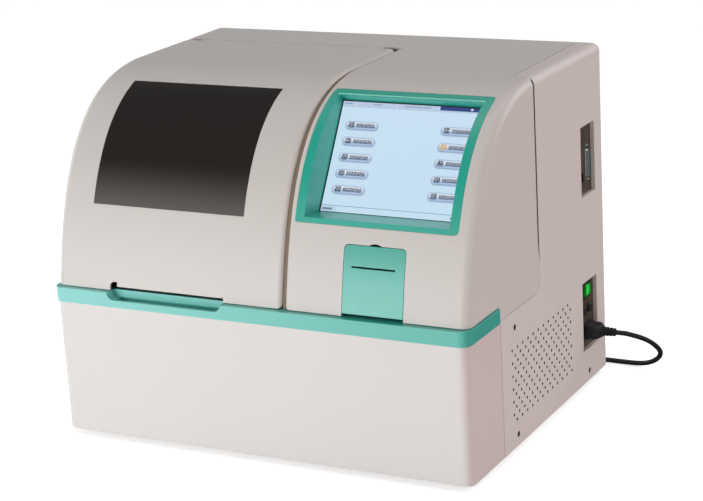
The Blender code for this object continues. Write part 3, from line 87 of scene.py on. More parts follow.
def placeCamera():
    turn, down, tilt = (math.radians(angle) for angle in pick(camera, "turn down tilt"))
    back = Vector((math.sin(turn) * math.cos(down), -math.cos(turn) * math.cos(down), math.sin(down)))
    right = Vector((0, 0, 1)).cross(back).normalized()
    up = back.cross(right)
    side = right * math.cos(tilt) + up * math.sin(tilt)
    top = up * math.cos(tilt) - right * math.sin(tilt)
    bpy.ops.object.camera_add()
    made = bpy.context.object
    made.name = "photoCamera"
    made.matrix_world = Matrix.Translation(camera["place"]) @ Matrix((side, top, back)).transposed().to_4x4()
    made.data.lens, made.data.sensor_width, made.data.clip_end = pick(camera, "lens sensor reach")
    bpy.context.scene.camera = made


light = {
    "key": {"place": (-1.5, -2.9, 0.95), "size": 1.8, "power": 41, "colour": (1.0, 0.985, 0.965),
            "glossy": False},
    "low": {"place": (-1.6, -3.1, 0.21), "size": 2.4, "high": 0.4, "power": 27, "colour": (1.0, 0.99, 0.98)},
    "side": {"place": (2.8, -0.6, 0.9), "size": 1.8, "power": 27, "colour": (1.0, 0.79, 0.77), "glossy": False},
    "top": {"place": (0.2, 0.4, 2.8), "size": 2.4, "power": 20, "colour": (1.0, 0.985, 0.97)},
    "rear": {"place": (2.2, 2.5, 1.9), "size": 2.0, "power": 34, "colour": (0.97, 0.98, 1.0)},
    "left": {"place": (-3.0, 0.2, 1.1), "size": 1.8, "power": 18, "colour": (1.0, 1.0, 1.0)},
}
# each fade is from and to a measure, then from and to a strength
studio = {
    "aim": (0, 0, 0.2), "floorSize": 40, "floorLow": -0.0003, "floorRough": 0.9, "floorShine": 0.1,
    "floorTone": (1.1, 2.6, 0.86, 0.0), "floorLift": (1.1, 2.6, 0.66, 1.0), "floorGloss": (0.0, 0.6, 0.05, 1.0),
    "frontWay": (-0.42, -0.9, 0.1), "frontSide": (0.0, 0.75, 0.35, 1.0), "frontFade": (0.0, 0.4, 0.85, 0.08),
    "glossBase": 0.15, "ambient": (0.97, 0.97, 1.0), "ambientFade": (0.0, 0.6, 0.42, 0.12),
}


def placeLights():
    for name, lamp in light.items():
        bpy.ops.object.light_add(type="AREA", location=lamp["place"])
        made = bpy.context.object
        made.name = name + "Light"
        made.data.shape, made.data.size = "SQUARE", lamp["size"]
        if "high" in lamp:
            made.data.shape, made.data.size_y = "RECTANGLE", lamp["high"]
        made.visible_glossy = lamp.get("glossy", True)
        made.data.energy, made.data.color = lamp["power"], lamp["colour"]
        aim = Vector(studio["aim"]) - Vector(lamp["place"])
        made.rotation_euler = aim.to_track_quat("-Z", "Y").to_euler()


def feed(socket, value):
    # a shader socket takes a link, a colour or a plain value
    if isinstance(value, bpy.types.NodeSocket):
        socket.id_data.links.new(value, socket)
    else:
        socket.default_value = (*value, 1) if socket.type == "RGBA" and len(value) == 3 else value


def node(tree, kind, feeds=(), **settings):
    made = tree.nodes.new("ShaderNode" + kind)
    for key, value in settings.items():
        setattr(made, key, value)
    for key, value in dict(feeds).items():
        feed(made.inputs[key], value)
    return made


def calculate(tree, operation, *values, clamp=False):
    return node(tree, "Math", dict(enumerate(values)), operation=operation, use_clamp=clamp).outputs[0]


def vectors(tree, operation, *values):
    made = node(tree, "VectorMath", dict(enumerate(values)), operation=operation)
    return made.outputs["Value" if operation in ("DOT_PRODUCT", "LENGTH", "DISTANCE") else "Vector"]


def ramp(tree, source, limits):
    sockets = dict(zip(("From Min", "From Max", "To Min", "To Max"), limits))
    return node(tree, "MapRange", {"Value": source, **sockets}, interpolation_type="SMOOTHSTEP").outputs[0]


def mixColours(tree, share, first, second):
    return node(tree, "Mix", {0: share, 6: first, 7: second}, data_type="RGBA").outputs[2]


def seenRays(tree):
    path = node(tree, "LightPath").outputs
    return calculate(tree, "MAXIMUM", path["Is Camera Ray"], path["Is Transmission Ray"]), path["Is Glossy Ray"]


def blankPaint(name):
    paint = bpy.data.materials.new(name)
    paint.use_nodes = True
    return paint, paint.node_tree, paint.node_tree.nodes["Principled BSDF"]


def placeWorld():
    # a white backdrop, a low soft ambient, and for reflections a bright soft front that fades upwards
    world = bpy.data.worlds.new("studio")
    bpy.context.scene.world = world
    world.use_nodes = True
    tree = world.node_tree
    tree.nodes.clear()
    way = node(tree, "TexCoord").outputs["Generated"]
    height = node(tree, "SeparateXYZ", {0: way}).outputs[2]
    facing = ramp(tree, vectors(tree, "DOT_PRODUCT", way, studio["frontWay"]), studio["frontSide"])
    front = calculate(tree, "MULTIPLY", ramp(tree, height, studio["frontFade"]), facing)
    lit = calculate(tree, "ADD", front, studio["glossBase"])
    ambient, bright, white = (
        node(tree, "Background", {"Color": colour, "Strength": strength}).outputs[0]
        for colour, strength in ((studio["ambient"], ramp(tree, height, studio["ambientFade"])),
                                 ((1, 1, 1), lit), ((1, 1, 1), 1.0)))
    seen, glossy = seenRays(tree)
    others = node(tree, "MixShader", {0: glossy, 1: ambient, 2: bright}).outputs[0]
    node(tree, "OutputWorld", {"Surface": node(tree, "MixShader", {0: seen, 1: others, 2: white}).outputs[0]})


def layFloor():
    # white to the camera; in a reflection it is bright in front of the case and dark behind it
    bpy.ops.mesh.primitive_plane_add(size=studio["floorSize"], location=(0, 0, studio["floorLow"]))
    floor = bpy.context.object
    floor.name = "studioFloor"
    paint, tree, shader = blankPaint("paleFloor")
    place = node(tree, "TexCoord").outputs["Object"]
    away = vectors(tree, "LENGTH", place)
    tone, lift = ramp(tree, away, studio["floorTone"]), ramp(tree, away, studio["floorLift"])
    bright = ramp(tree, vectors(tree, "DOT_PRODUCT", place, studio["frontWay"]), studio["floorGloss"])
    seen, glossy = seenRays(tree)
    kept = calculate(tree, "MULTIPLY_ADD", glossy, calculate(tree, "SUBTRACT", bright, 1.0), 1.0)
    feed(shader.inputs["Base Color"], calculate(tree, "MULTIPLY", tone, kept))
    feed(shader.inputs["Emission Strength"],
         calculate(tree, "MULTIPLY", lift, calculate(tree, "MULTIPLY_ADD", glossy, bright, seen)))
    feed(shader.inputs["Emission Color"], (1, 1, 1))
    feed(shader.inputs["Roughness"], studio["floorRough"])
    feed(shader.inputs["Specular IOR Level"], studio["floorShine"])
    floor.data.materials.append(paint)


bpy.ops.object.select_all(action="DESELECT")
placeCamera()
placeLights()
placeWorld()
layFloor()
bpy.context.scene.view_settings.view_transform = "Standard"
print("camera and light placed")


# Shared effects, each a node group that is built once

def newGroup(name, takes, gives):
    tree = bpy.data.node_groups.new(name, "ShaderNodeTree")
    for label, kind, value in takes:
        socket = tree.interface.new_socket(name=label, in_out="INPUT", socket_type="NodeSocket" + kind)
        if value is not None:
            socket.default_value = value
    for label, kind in gives:
        tree.interface.new_socket(name=label, in_out="OUTPUT", socket_type="NodeSocket" + kind)
    return tree, tree.nodes.new("NodeGroupInput").outputs, tree.nodes.new("NodeGroupOutput").inputs


def noise(tree, place, scale, detail=2, **settings):
    return node(tree, "TexNoise", {"Vector": place, "Scale": scale, "Detail": detail}, **settings).outputs["Fac"]


def mouldedGrain(tree, take, place):
    # fine spark-eroded grain, faint large tone changes and handling marks
    tone, smear = (calculate(tree, "MULTIPLY", calculate(tree, "SUBTRACT", noise(tree, place, *cloud), 0.5),
                             take[label])
                   for cloud, label in (((5, 3), "Tone Change"), ((38, 5), "Marks")))
    return calculate(tree, "ADD", tone, 1.0), smear, noise(tree, place, take["Grain Size"]), take["Grain Depth"]


def brushedLines(tree, take, place):
    # drawn or brushed metal: long thin streaks along one axis
    lines = noise(tree, vectors(tree, "MULTIPLY", place, take["Along"]), take["Line Size"], 3)
    rough = calculate(tree, "MULTIPLY_ADD", noise(tree, place, 60), 0.14, -0.07)
    return calculate(tree, "MULTIPLY_ADD", lines, 0.16, 0.92), rough, lines, take["Depth"]


def newEffect(pattern, takes):
    # the pattern gives a tone, a change of roughness and a relief with its strength
    sockets = [("Color", "Color", (0.8, 0.8, 0.8, 1)), ("Roughness", "Float", 0.4)] + takes
    results = [("Color", "Color"), ("Roughness", "Float"), ("Normal", "Vector")]
    tree, take, give = newGroup(pattern.__name__, sockets, results)
    tone, change, height, depth = pattern(tree, take, node(tree, "TexCoord").outputs["Object"])
    feed(give["Color"], node(tree, "HueSaturation", {"Value": tone, "Color": take["Color"]}).outputs[0])
    feed(give["Roughness"], calculate(tree, "ADD", take["Roughness"], change, clamp=True))
    feed(give["Normal"], node(tree, "Bump", {"Distance": 0.0001, "Strength": depth, "Height": height}).outputs[0])
    return tree


effects = {
    "mouldedGrain": newEffect(mouldedGrain, [("Grain Size", "Float", 1400.0), ("Grain Depth", "Float", 0.05),
                                             ("Tone Change", "Float", 0.04), ("Marks", "Float", 0.06)]),
    "brushedLines": newEffect(brushedLines, [("Line Size", "Float", 900.0), ("Depth", "Float", 0.12),
                                             ("Along", "Vector", (0.03, 1.0, 1.0))]),
}


def rgb(red, green, blue):
    # a colour as the photo's screen values
    return tuple(((value / 255 + 0.055) / 1.055) ** 2.4 if value > 10 else value / 255 / 12.92
                 for value in (red, green, blue))


# colour and roughness, then the settings of the effect and those of the shader; a fade is two
# colours, the axis of the object along which one gives way to the other, and from where to where
tealCoat = {"Coat Weight": 1.0, "Coat Roughness": 0.36, "Coat IOR": 1.8}
shellCoat = {"Coat Weight": 0.12, "Coat Roughness": 0.3}
smooth = {"Grain Depth": 0.0}
paintList = {
    "coverShell": ((210, 206, 202), 0.42, {}, shellCoat),
    # painted light: the lower front panel is the covers' paint made lighter, and towards its right end it fades
    # to a darker pink, painted shade and pink side light on its side return
    "frontShellPaintedLight": (((226, 224, 222), (214, 204, 201), 0, (0.284, 0.3)), 0.42, {}, shellCoat),
    "sideSteel": ((216, 209, 206), 0.46, {"Grain Depth": 0.12, "Grain Size": 900.0},
                  {"Coat Weight": 0.08, "Coat Roughness": 0.35}),
    "tealPlastic": ((52, 178, 162), 0.4, {}, tealCoat),
    # painted sheen: the belt's teal is lighter and paler towards its left end
    "beltTealPaintedSheen": (((112, 204, 197), (50, 178, 162), 0, (-0.34, 0.28)), 0.4, {}, tealCoat),
    # painted sheen and shade: the door's teal is lighter at its bottom and darker, more saturated at its top
    "doorTealPaintedSheen": (((62, 178, 164), (12, 163, 145), 2, (0.245, 0.3)), 0.4, {},
                 {**tealCoat, "Coat Weight": 0.8, "Coat IOR": 1.6}),
    # painted shade: the bezel's teal is darker and more saturated than the other teal, for its shaded well walls
    "bezelShadedTeal": ((18, 171, 149), 0.4, {}, {"Coat Weight": 0.8, "Coat Roughness": 0.32}),
    "whiteInside": ((232, 233, 232), 0.5),
    "zincPlate": ((126, 114, 98), 0.42, {"Depth": 0.06}, {"Metallic": 0.85}, "brushedLines"),
    "brightSteel": ((190, 188, 184), 0.28, {}, {"Metallic": 1.0}, "brushedLines"),
    "screwSteel": ((112, 104, 100), 0.34, {}, {"Metallic": 1.0}, "brushedLines"),
    # painted shade: a dark brown strip that darkens the seam's gap
    "seamShadeBrown": ((50, 39, 32), 0.75),
    # painted shade: the darker tan of the groove between the lid and the fixed cover
    "splitShadeTan": ((132, 116, 96), 0.7),
    # painted shade: near black for the inner walls of the vent holes
    "ventHoleShade": ((52, 46, 44), 0.7, {"Tone Change": 0.2}),
    "clearCup": ((212, 220, 222), 0.16, smooth, {"Coat Weight": 0.5}),
    "blackPlastic": ((34, 34, 36), 0.45, {"Tone Change": 0.3}),
    "softBlack": ((36, 36, 37), 0.62, {"Tone Change": 0.4, "Grain Depth": 0.15}),
    "leadSheath": ((30, 31, 33), 0.38, {"Tone Change": 0.3}),
    "blueShell": ((110, 135, 165), 0.4, {}, {"Metallic": 0.35}, "brushedLines"),
    "circuitGreen": ((40, 100, 66), 0.4),
    "smokePlastic": ((110, 118, 124), 0.14, smooth, {"Coat Weight": 0.4}),
    "clearSmoke": ((205, 209, 212), 0.08, {**smooth, "Marks": 0.02},
                   {"Coat Weight": 0.3, "Transmission Weight": 0.94}),
    # the pane's own dark smoke tint, with a painted reflection that makes it lighter towards its bottom
    "windowTintAndReflection": (((98, 94, 90), (25, 20, 16), 2, (0.308, 0.378)), 0.1, {**smooth, "Marks": 0.02},
                   {"Coat Weight": 0.3, "Coat Roughness": 0.04}),
    "litScreen": ((200, 225, 250), 0.2, smooth),
    "socketGreen": ((96, 150, 122), 0.4),
    "litGreen": ((0, 128, 30), 0.25, smooth),
}
slotPaint = {
    "shell": "coverShell", "shell_front": "frontShellPaintedLight", "teal": "tealPlastic", "window": "windowTintAndReflection",
    "screen": "litScreen", "steel": "brightSteel", "zinc": "zincPlate", "white": "whiteInside",
    "smoke": "smokePlastic", "black": "blackPlastic", "rubber": "softBlack", "green": "litGreen",
    "blue": "blueShell", "board": "circuitGreen", "lead": "leadSheath",
}
rockerGlow = {"place": (597.0, 404.5, 127.5), "fade": (0.003, 0.0135, 0.62, 0.0), "colour": (30, 235, 70)}
paints = {}


def newPaint(name, colour, roughness, settings=(), shine=(), effect="mouldedGrain"):
    paint, tree, shader = blankPaint(name)
    paints[name] = paint
    if isinstance(colour[0], tuple):
        low, high, axis, limits = colour
        place = node(tree, "SeparateXYZ", {0: node(tree, "TexCoord").outputs["Object"]}).outputs[axis]
        colour = mixColours(tree, ramp(tree, place, limits), rgb(*low), rgb(*high))
    else:
        colour = rgb(*colour)
    group = node(tree, "Group", {"Color": colour, "Roughness": roughness, **dict(settings)},
                 node_tree=effects[effect])
    for key in ("Color", "Roughness", "Normal"):
        feed(shader.inputs["Base Color" if key == "Color" else key], group.outputs[key])
    for key, value in dict(shine).items():
        feed(shader.inputs[key], value)


def glowRocker():
    # the lit rocker is brightest over its lamp
    tree = paints["litGreen"].node_tree
    away = vectors(tree, "DISTANCE", node(tree, "TexCoord").outputs["Object"], at(*rockerGlow["place"]))
    sockets = tree.nodes["Principled BSDF"].inputs
    feed(sockets["Emission Color"], rgb(*rockerGlow["colour"]))
    feed(sockets["Emission Strength"], ramp(tree, away, rockerGlow["fade"]))


for name, values in paintList.items():
    newPaint(name, *values)
glowRocker()
print("paints mixed:", len(paints))


# Bench tools: each works on one selected piece

def workOn(piece):
    if bpy.context.object and bpy.context.object.mode != "OBJECT":
        bpy.ops.object.mode_set(mode="OBJECT")
    bpy.ops.object.select_all(action="DESELECT")
    piece.select_set(True)
    bpy.context.view_layer.objects.active = piece


def applied(piece, kind, **settings):
    workOn(piece)
    change = piece.modifiers.new(kind.title(), kind)
    for key, value in settings.items():
        setattr(change, key, value)
    bpy.ops.object.modifier_apply(modifier=change.name)
    return piece


def roundEdges(piece, width, steps=2, angle=40):
    return applied(piece, "BEVEL", width=width / 1000, segments=steps, limit_method="ANGLE",
                   angle_limit=math.radians(angle))


def combined(piece, operation, cutters):
    for cutter in cutters:
        applied(piece, "BOOLEAN", operation=operation, object=cutter, solver="EXACT")
        bpy.data.objects.remove(cutter)
    return piece


def cutOut(piece, *cutters):
    return combined(piece, "DIFFERENCE", cutters)


def joinOn(piece, *others):
    return combined(piece, "UNION", others)


def outwards(piece):
    workOn(piece)
    bpy.ops.object.mode_set(mode="EDIT")
    bpy.ops.mesh.select_all(action="SELECT")
    bpy.ops.mesh.remove_doubles(threshold=0.000005)
    bpy.ops.mesh.normals_make_consistent(inside=False)
    bpy.ops.object.mode_set(mode="OBJECT")
    return piece


def loft(name, sections):
    count = len(sections[0])
    points = [point for section in sections for point in section]
    faces = [tuple(range(count)), tuple(range(len(points) - count, len(points)))]
    for ring in range(len(sections) - 1):
        for i in range(count):
            a, b = ring * count + i, ring * count + (i + 1) % count
            faces.append((a, b, b + count, a + count))
    mesh = bpy.data.meshes.new(name)
    mesh.from_pydata(points, [], faces)
    piece = bpy.data.objects.new(name, mesh)
    bpy.context.scene.collection.objects.link(piece)
    return outwards(piece)


def drawn(name, points):
    # a line drawn point by point: one vertex, extruded to each next place
    bpy.ops.object.select_all(action="DESELECT")
    bpy.ops.mesh.primitive_plane_add(size=0.01, location=(0, 0, 0))
    piece = bpy.context.object
    piece.name = name
    bpy.ops.object.mode_set(mode="EDIT")
    bpy.ops.mesh.merge(type="CENTER")
    bpy.ops.transform.translate(value=points[0])
    for before, after in zip(points, points[1:]):
        bpy.ops.mesh.extrude_vertices_move(TRANSFORM_OT_translate={"value": after - before})
    bpy.ops.mesh.select_all(action="SELECT")
    return piece


def slab(name, outline, axis, low, high):
    # an outline, filled and extruded along an axis
    points = [onSide(axis, low, a, b) for a, b in outline]
    piece = drawn(name, points + points[:1])
    bpy.ops.mesh.remove_doubles(threshold=0.000002)
    bpy.ops.mesh.edge_face_add()
    bpy.ops.mesh.extrude_region_move(TRANSFORM_OT_translate={"value": onSide(axis, high - low, 0, 0) - corner})
    bpy.ops.object.mode_set(mode="OBJECT")
    return outwards(piece)


def block(name, x, y, z, edge=0, steps=2):
    middle = at(sum(x) / 2, sum(y) / 2, sum(z) / 2)
    size = Vector((x[1] - x[0], y[1] - y[0], z[1] - z[0])) / 1000
    bpy.ops.object.select_all(action="DESELECT")
    bpy.ops.mesh.primitive_cube_add(size=1, location=middle, scale=size)
    piece = bpy.context.object
    piece.name = name
    bpy.ops.object.transform_apply(location=True, rotation=True, scale=True)
    return roundEdges(piece, edge, steps, 35) if edge else piece


def turned(name, profile, axis, centre, sides=48):
    # a profile of (radius, level), spun round an axis; it ends on the axis or closes on itself
    points = [onSide(axis, level, centre[0] + radius, centre[1]) for radius, level in profile]
    piece = drawn(name, points)
    way = {"x": (1, 0, 0), "y": (0, 1, 0), "z": (0, 0, 1)}[axis]
    bpy.ops.mesh.spin(steps=sides, angle=2 * math.pi, center=onSide(axis, profile[0][1], *centre), axis=way)
    bpy.ops.object.mode_set(mode="OBJECT")
    return outwards(piece)


def pin(name, radius, low, high, axis, centre, sides):
    return turned(name, [(0, low), (radius, low), (radius, high), (0, high)], axis, centre, sides)


def tubeRow(name, axis, centres, radius, low, high, sides=20):
    # equal round pins in a row or field, as one piece
    turn = {"x": (0, math.pi / 2, 0), "y": (math.pi / 2, 0, 0), "z": (0, 0, 0)}[axis]
    bpy.ops.object.select_all(action="DESELECT")
    for count, centre in enumerate(centres):
        bpy.ops.mesh.primitive_cylinder_add(vertices=sides, radius=radius / 1000, depth=(high - low) / 1000,
                                            location=onSide(axis, (low + high) / 2, *centre), rotation=turn)
        if count == 0:
            piece = bpy.context.object
            piece.name = name
            bpy.ops.object.transform_apply(location=True, rotation=True, scale=True)
            bpy.ops.object.mode_set(mode="EDIT")
    bpy.ops.object.mode_set(mode="OBJECT")
    return piece


def around(middle, length):
    return middle - length / 2, middle + length / 2


def arc(centre, radius, start, sweep, steps):
    turns = [math.radians(start + sweep * step / steps) for step in range(steps + 1)]
    return [(centre[0] + radius * math.cos(turn), centre[1] + radius * math.sin(turn)) for turn in turns]


def ringOf(centre, radius, start, count):
    return arc(centre, radius, start, 360, count)[:-1]


def rounded(corners, steps=5):
    # an outline whose corners (a, b, radius) are arcs
    outline = []
    for i, (a, b, radius) in enumerate(corners):
        here = Vector((a, b))
        before, after = Vector(corners[i - 1][:2]), Vector(corners[(i + 1) % len(corners)][:2])
        if radius <= 0:
            outline.append((a, b))
            continue
        back, on = (before - here).normalized(), (after - here).normalized()
        half = back.angle(on) / 2
        start, end = here + back * radius / math.tan(half), here + on * radius / math.tan(half)
        centre = here + (back + on).normalized() * radius / math.sin(half)
        first, last = start - centre, end - centre
        whole = first.angle_signed(last)
        for step in range(steps + 1):
            turn = -whole * step / steps
            outline.append(tuple(centre + Vector((first.x * math.cos(turn) - first.y * math.sin(turn),
                                                  first.x * math.sin(turn) + first.y * math.cos(turn)))))
    return outline


def boxed(a, b, radii, steps):
    # a rectangle with its corners rounded, by one radius or by one each
    if isinstance(radii, (int, float)):
        radii = [radii] * 4
    places = [(a[0], b[0]), (a[1], b[0]), (a[1], b[1]), (a[0], b[1])]
    return rounded([(*place, radius) for place, radius in zip(places, radii)], steps)


def finishPiece(piece, paint, stands="", angle=32, edge=(), body="", flat=False):
    # edge is what roundEdges takes; stands names the solid piece that this one is seen in place of
    if edge:
        roundEdges(piece, *edge)
    workOn(piece)
    if not flat:
        bpy.ops.object.shade_smooth_by_angle(angle=math.radians(angle))
        applied(piece, "WEIGHTED_NORMAL", keep_sharp=True)
    piece.data.materials.clear()
    piece.data.materials.append(paints[paint] if isinstance(paint, str) else paint)
    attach(piece, body or bodyOf.get(stands, "case"))
    if stands:
        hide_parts(stands)
    return piece


def refined(nodeName, paint, edge=0.4, steps=2, angle=35):
    # a solid model's piece with its small edges rounded
    workOn(nodes[nodeName])
    bpy.ops.object.duplicate()
    piece = bpy.context.object
    bpy.ops.object.parent_clear(type="CLEAR_KEEP_TRANSFORM")
    words = nodeName.split("_")
    piece.name = words[0] + "".join(word.title() for word in words[1:])
    for key in list(piece.keys()):
        if key.startswith("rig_"):
            del piece[key]
    outwards(piece)
    bpy.ops.object.mode_set(mode="EDIT")
    bpy.ops.mesh.select_all(action="SELECT")
    bpy.ops.mesh.dissolve_limited(angle_limit=math.radians(0.5))
    bpy.ops.object.mode_set(mode="OBJECT")
    return finishPiece(piece, paint, nodeName, edge=(edge, steps, angle) if edge else ())


# Covers: one curved outline for the lid, the fixed cover, the window, the bezel and the door

covers = {
    "base": 201.5, "setback": 7.0, "lean": 10.5, "leanShare": 0.4841, "topReach": 168.0, "flatStart": 240.0,
    "wall": 3.0, "steps": 56, "edge": 12.0, "innerEdge": 6.0, "edgeSteps": 8, "backRound": 10.0,
    "sideSeam": 230.7, "splitLeft": 342.2, "fixedLeft": 346.6, "small": 0.5, "lowCorner": 6.5,
}


def curveAt(share, depth=0.0):
    setback, base, reach, flat = pick(covers, "setback base topReach flatStart")
    lean, rise = math.radians(covers["lean"]), (case["high"] - base) * covers["leanShare"]
    corners = [Vector((setback, base)), Vector((setback + rise * math.sin(lean), base + rise * math.cos(lean))),
               Vector((flat - reach, case["high"])), Vector((flat, case["high"]))]
    left = 1 - share
    place = (corners[0] * left ** 3 + corners[1] * 3 * left ** 2 * share
             + corners[2] * 3 * left * share ** 2 + corners[3] * share ** 3)
    along = ((corners[1] - corners[0]) * left ** 2 + (corners[2] - corners[1]) * 2 * left * share
             + (corners[3] - corners[2]) * share ** 2).normalized()
    return place.x + along.y * depth, place.y - along.x * depth


def shareAt(height, depth=0.0):
    low, high = 0.0, 1.0
    for _ in range(40):
        middle = (low + high) / 2
        if curveAt(middle, depth)[1] < height:
            low = middle
        else:
            high = middle
    return low


def frontAt(height, depth=0.0):
    return curveAt(shareAt(height, depth), depth)[0]


def coverShares(extra=()):
    shares = [step / covers["steps"] for step in range(covers["steps"] + 1)]
    shares = [share for share in shares if all(abs(share - other) > 0.006 for other in extra)]
    return sorted(shares + list(extra))


def coverSide(depth, base, back, shares, backRound):
    outline = [(curveAt(0)[0] + depth, base)] + [curveAt(share, depth) for share in shares]
    outline[1] = (outline[0][0], covers["base"])
    top = case["high"] - depth
    rear = arc((back - backRound, top - backRound), backRound, 90, -90, covers["edgeSteps"])
    return outline + (rear if backRound > 0 else [(back, top)]) + [(back, base)]


def coverBody(name, x, depth, base, back, rounds, shares, between=(), backRound=0.0):
    # sections from side to side: the outline draws in over the rounds at both ends
    (left, right), (start, end), steps = x, rounds, covers["edgeSteps"]
    stations = arc((left + start, start), start, 180, 90, steps) + [(level, 0) for level in between]
    stations += arc((right - end, end), end, -90, 90, steps)
    return loft(name, [[onSide("x", level, *point)
                        for point in coverSide(depth + inset, base, back, shares, backRound)]
                       for level, inset in stations])


def band(name, x, heights, depths, stations=()):
    low, high = shareAt(heights[0]), shareAt(heights[1])
    shares = [low] + [share for share in coverShares() if low + 0.004 < share < high - 0.004] + [high]
    outline = [curveAt(share, depths[0]) for share in shares]
    outline += [curveAt(share, depths[1]) for share in reversed(shares)]
    return loft(name, [[onSide("x", level, *point) for point in outline] for level in (x[0], *stations, x[1])])


def lowCorner(x, way):
    # rounds a cover's lower corner beside the split
    base, radius = pick(covers, "base lowCorner")
    outline = [(x - way * past, base - past), (x - way * past, base + radius)]
    outline += arc((x + way * radius, base + radius), radius, 180 if way > 0 else 0, 90 * way, 6)
    return slab("lowCorner", outline + [(x + way * radius, base - past)], "y", -past, 30)


lidSize = {
    "windowX": (51.5, 280.5), "windowZ": (309.5, 448.8), "windowThick": 1.2, "windowGap": 0.25, "ledge": 6.0,
    "ledgeTop": 3.6, "gripX": (84.0, 257.0), "gripTop": 212.6, "gripCorner": 6.5, "gripDeep": 36,
    "skirtBottom": 441.0, "lipX": (10.5, -1.5), "lipZ": (206.6, 214.1), "lipDeep": (0.9, 2.95),
    "hinge": (363.0, 459.5), "barrel": 3.5, "barrelX": (33.0, 323.5), "notchFront": 358.0, "pinBore": 2.3,
    "earGap": 0.6,
}


def makeLid():
    size, (wall, base, split, inner) = lidSize, pick(covers, "wall base splitLeft innerEdge")
    windowX, windowZ, (back, _), thick = pick(size, "windowX windowZ hinge windowThick")
    shares = coverShares([shareAt(height) for height in windowZ])
    lid = coverBody("lidShell", (0, split), 0, base, back, (covers["edge"], inner), shares, windowX)
    cutOut(lid, coverBody("lidInside", (wall, split - wall), wall, base - past, back + past,
                          (covers["edge"] - wall, inner - wall), shares, windowX),
           block("lidBehind", (-past, split + past), (covers["sideSeam"] - 0.6, back + past),
                 (base - past, size["skirtBottom"])))
    left, right = size["barrelX"]
    for x in ((-past, left + size["earGap"]), (right - size["earGap"], split + past)):
        cutOut(lid, block("earRoom", x, (size["notchFront"], case["deep"]),
                          (size["skirtBottom"] - past, case["high"] + past)))
    (gripLeft, gripRight), top, turn = pick(size, "gripX gripTop gripCorner")
    notch = boxed((gripLeft, gripRight), (base - past, top), (0, 0, turn, turn), 5)
    cutOut(lid, slab("gripNotch", notch, "y", 0, size["gripDeep"]), lowCorner(split, -1),
           band("windowSeat", windowX, windowZ, (-past, thick + 0.3)),
           band("windowHole", (windowX[0] + size["ledge"], windowX[1] - size["ledge"]),
                (windowZ[0] + size["ledge"], windowZ[1] - size["ledgeTop"]), (0, wall + past)))
    joinOn(lid, band("gripLip", (gripLeft + size["lipX"][0], gripRight + size["lipX"][1]), size["lipZ"],
                     size["lipDeep"]))
    roundEdges(lid, covers["small"])
    bore, radius = pick(size, "pinBore barrel")
    barrel = turned("lidBarrel", [(bore, left), (radius - 0.4, left), (radius, left + 0.4), (radius, right - 0.4),
                                  (radius - 0.4, right), (bore, right), (bore, left)], "x", size["hinge"])
    finishPiece(lid, "coverShell", "lid")
    finishPiece(barrel, "coverShell", body="lid_body")
    gap = size["windowGap"]
    pane = band("lidWindow", (windowX[0] + gap, windowX[1] - gap), (windowZ[0] + gap, windowZ[1] - gap),
                (0, thick))
    finishPiece(pane, "windowTintAndReflection", "lid_window", edge=(gap, 2))


makeLid()
print("lid made")


fixedSize = {
    "bezelX": (354.99, 578.51), "bezelZ": (309.5, 451.2), "bezelCorners": (4.0, 6.5, 4.0, 4.0), "bezelGap": 0.3,
    "doorX": (427.0, 512.2), "doorTop": 289.0, "doorCorner": 6.0, "arch": (8.6, 2.3),
    "sideLevel": 182.2, "insideLow": 181, "below": 179, "lowerEnd": 96.6, "back": 456.8, "flangeLeft": 571.2,
    "stripX": (17.6, 358.6), "stripFront": 367.2, "sideCorner": 15.0,
    "seamOpen": 3.9, "seamThin": 0.3, "seamZ": (214.0, 250.0, 458.0, 461.0),
}


def bezelShape(gap):
    # the bezel's outline from the front, its lower corners rounder
    (left, right), (low, high), radii = pick(fixedSize, "bezelX bezelZ bezelCorners")
    return slab("bezelShape", boxed((left - gap, right + gap), (low - gap, high + gap), radii, 6), "y", -past,
                250)


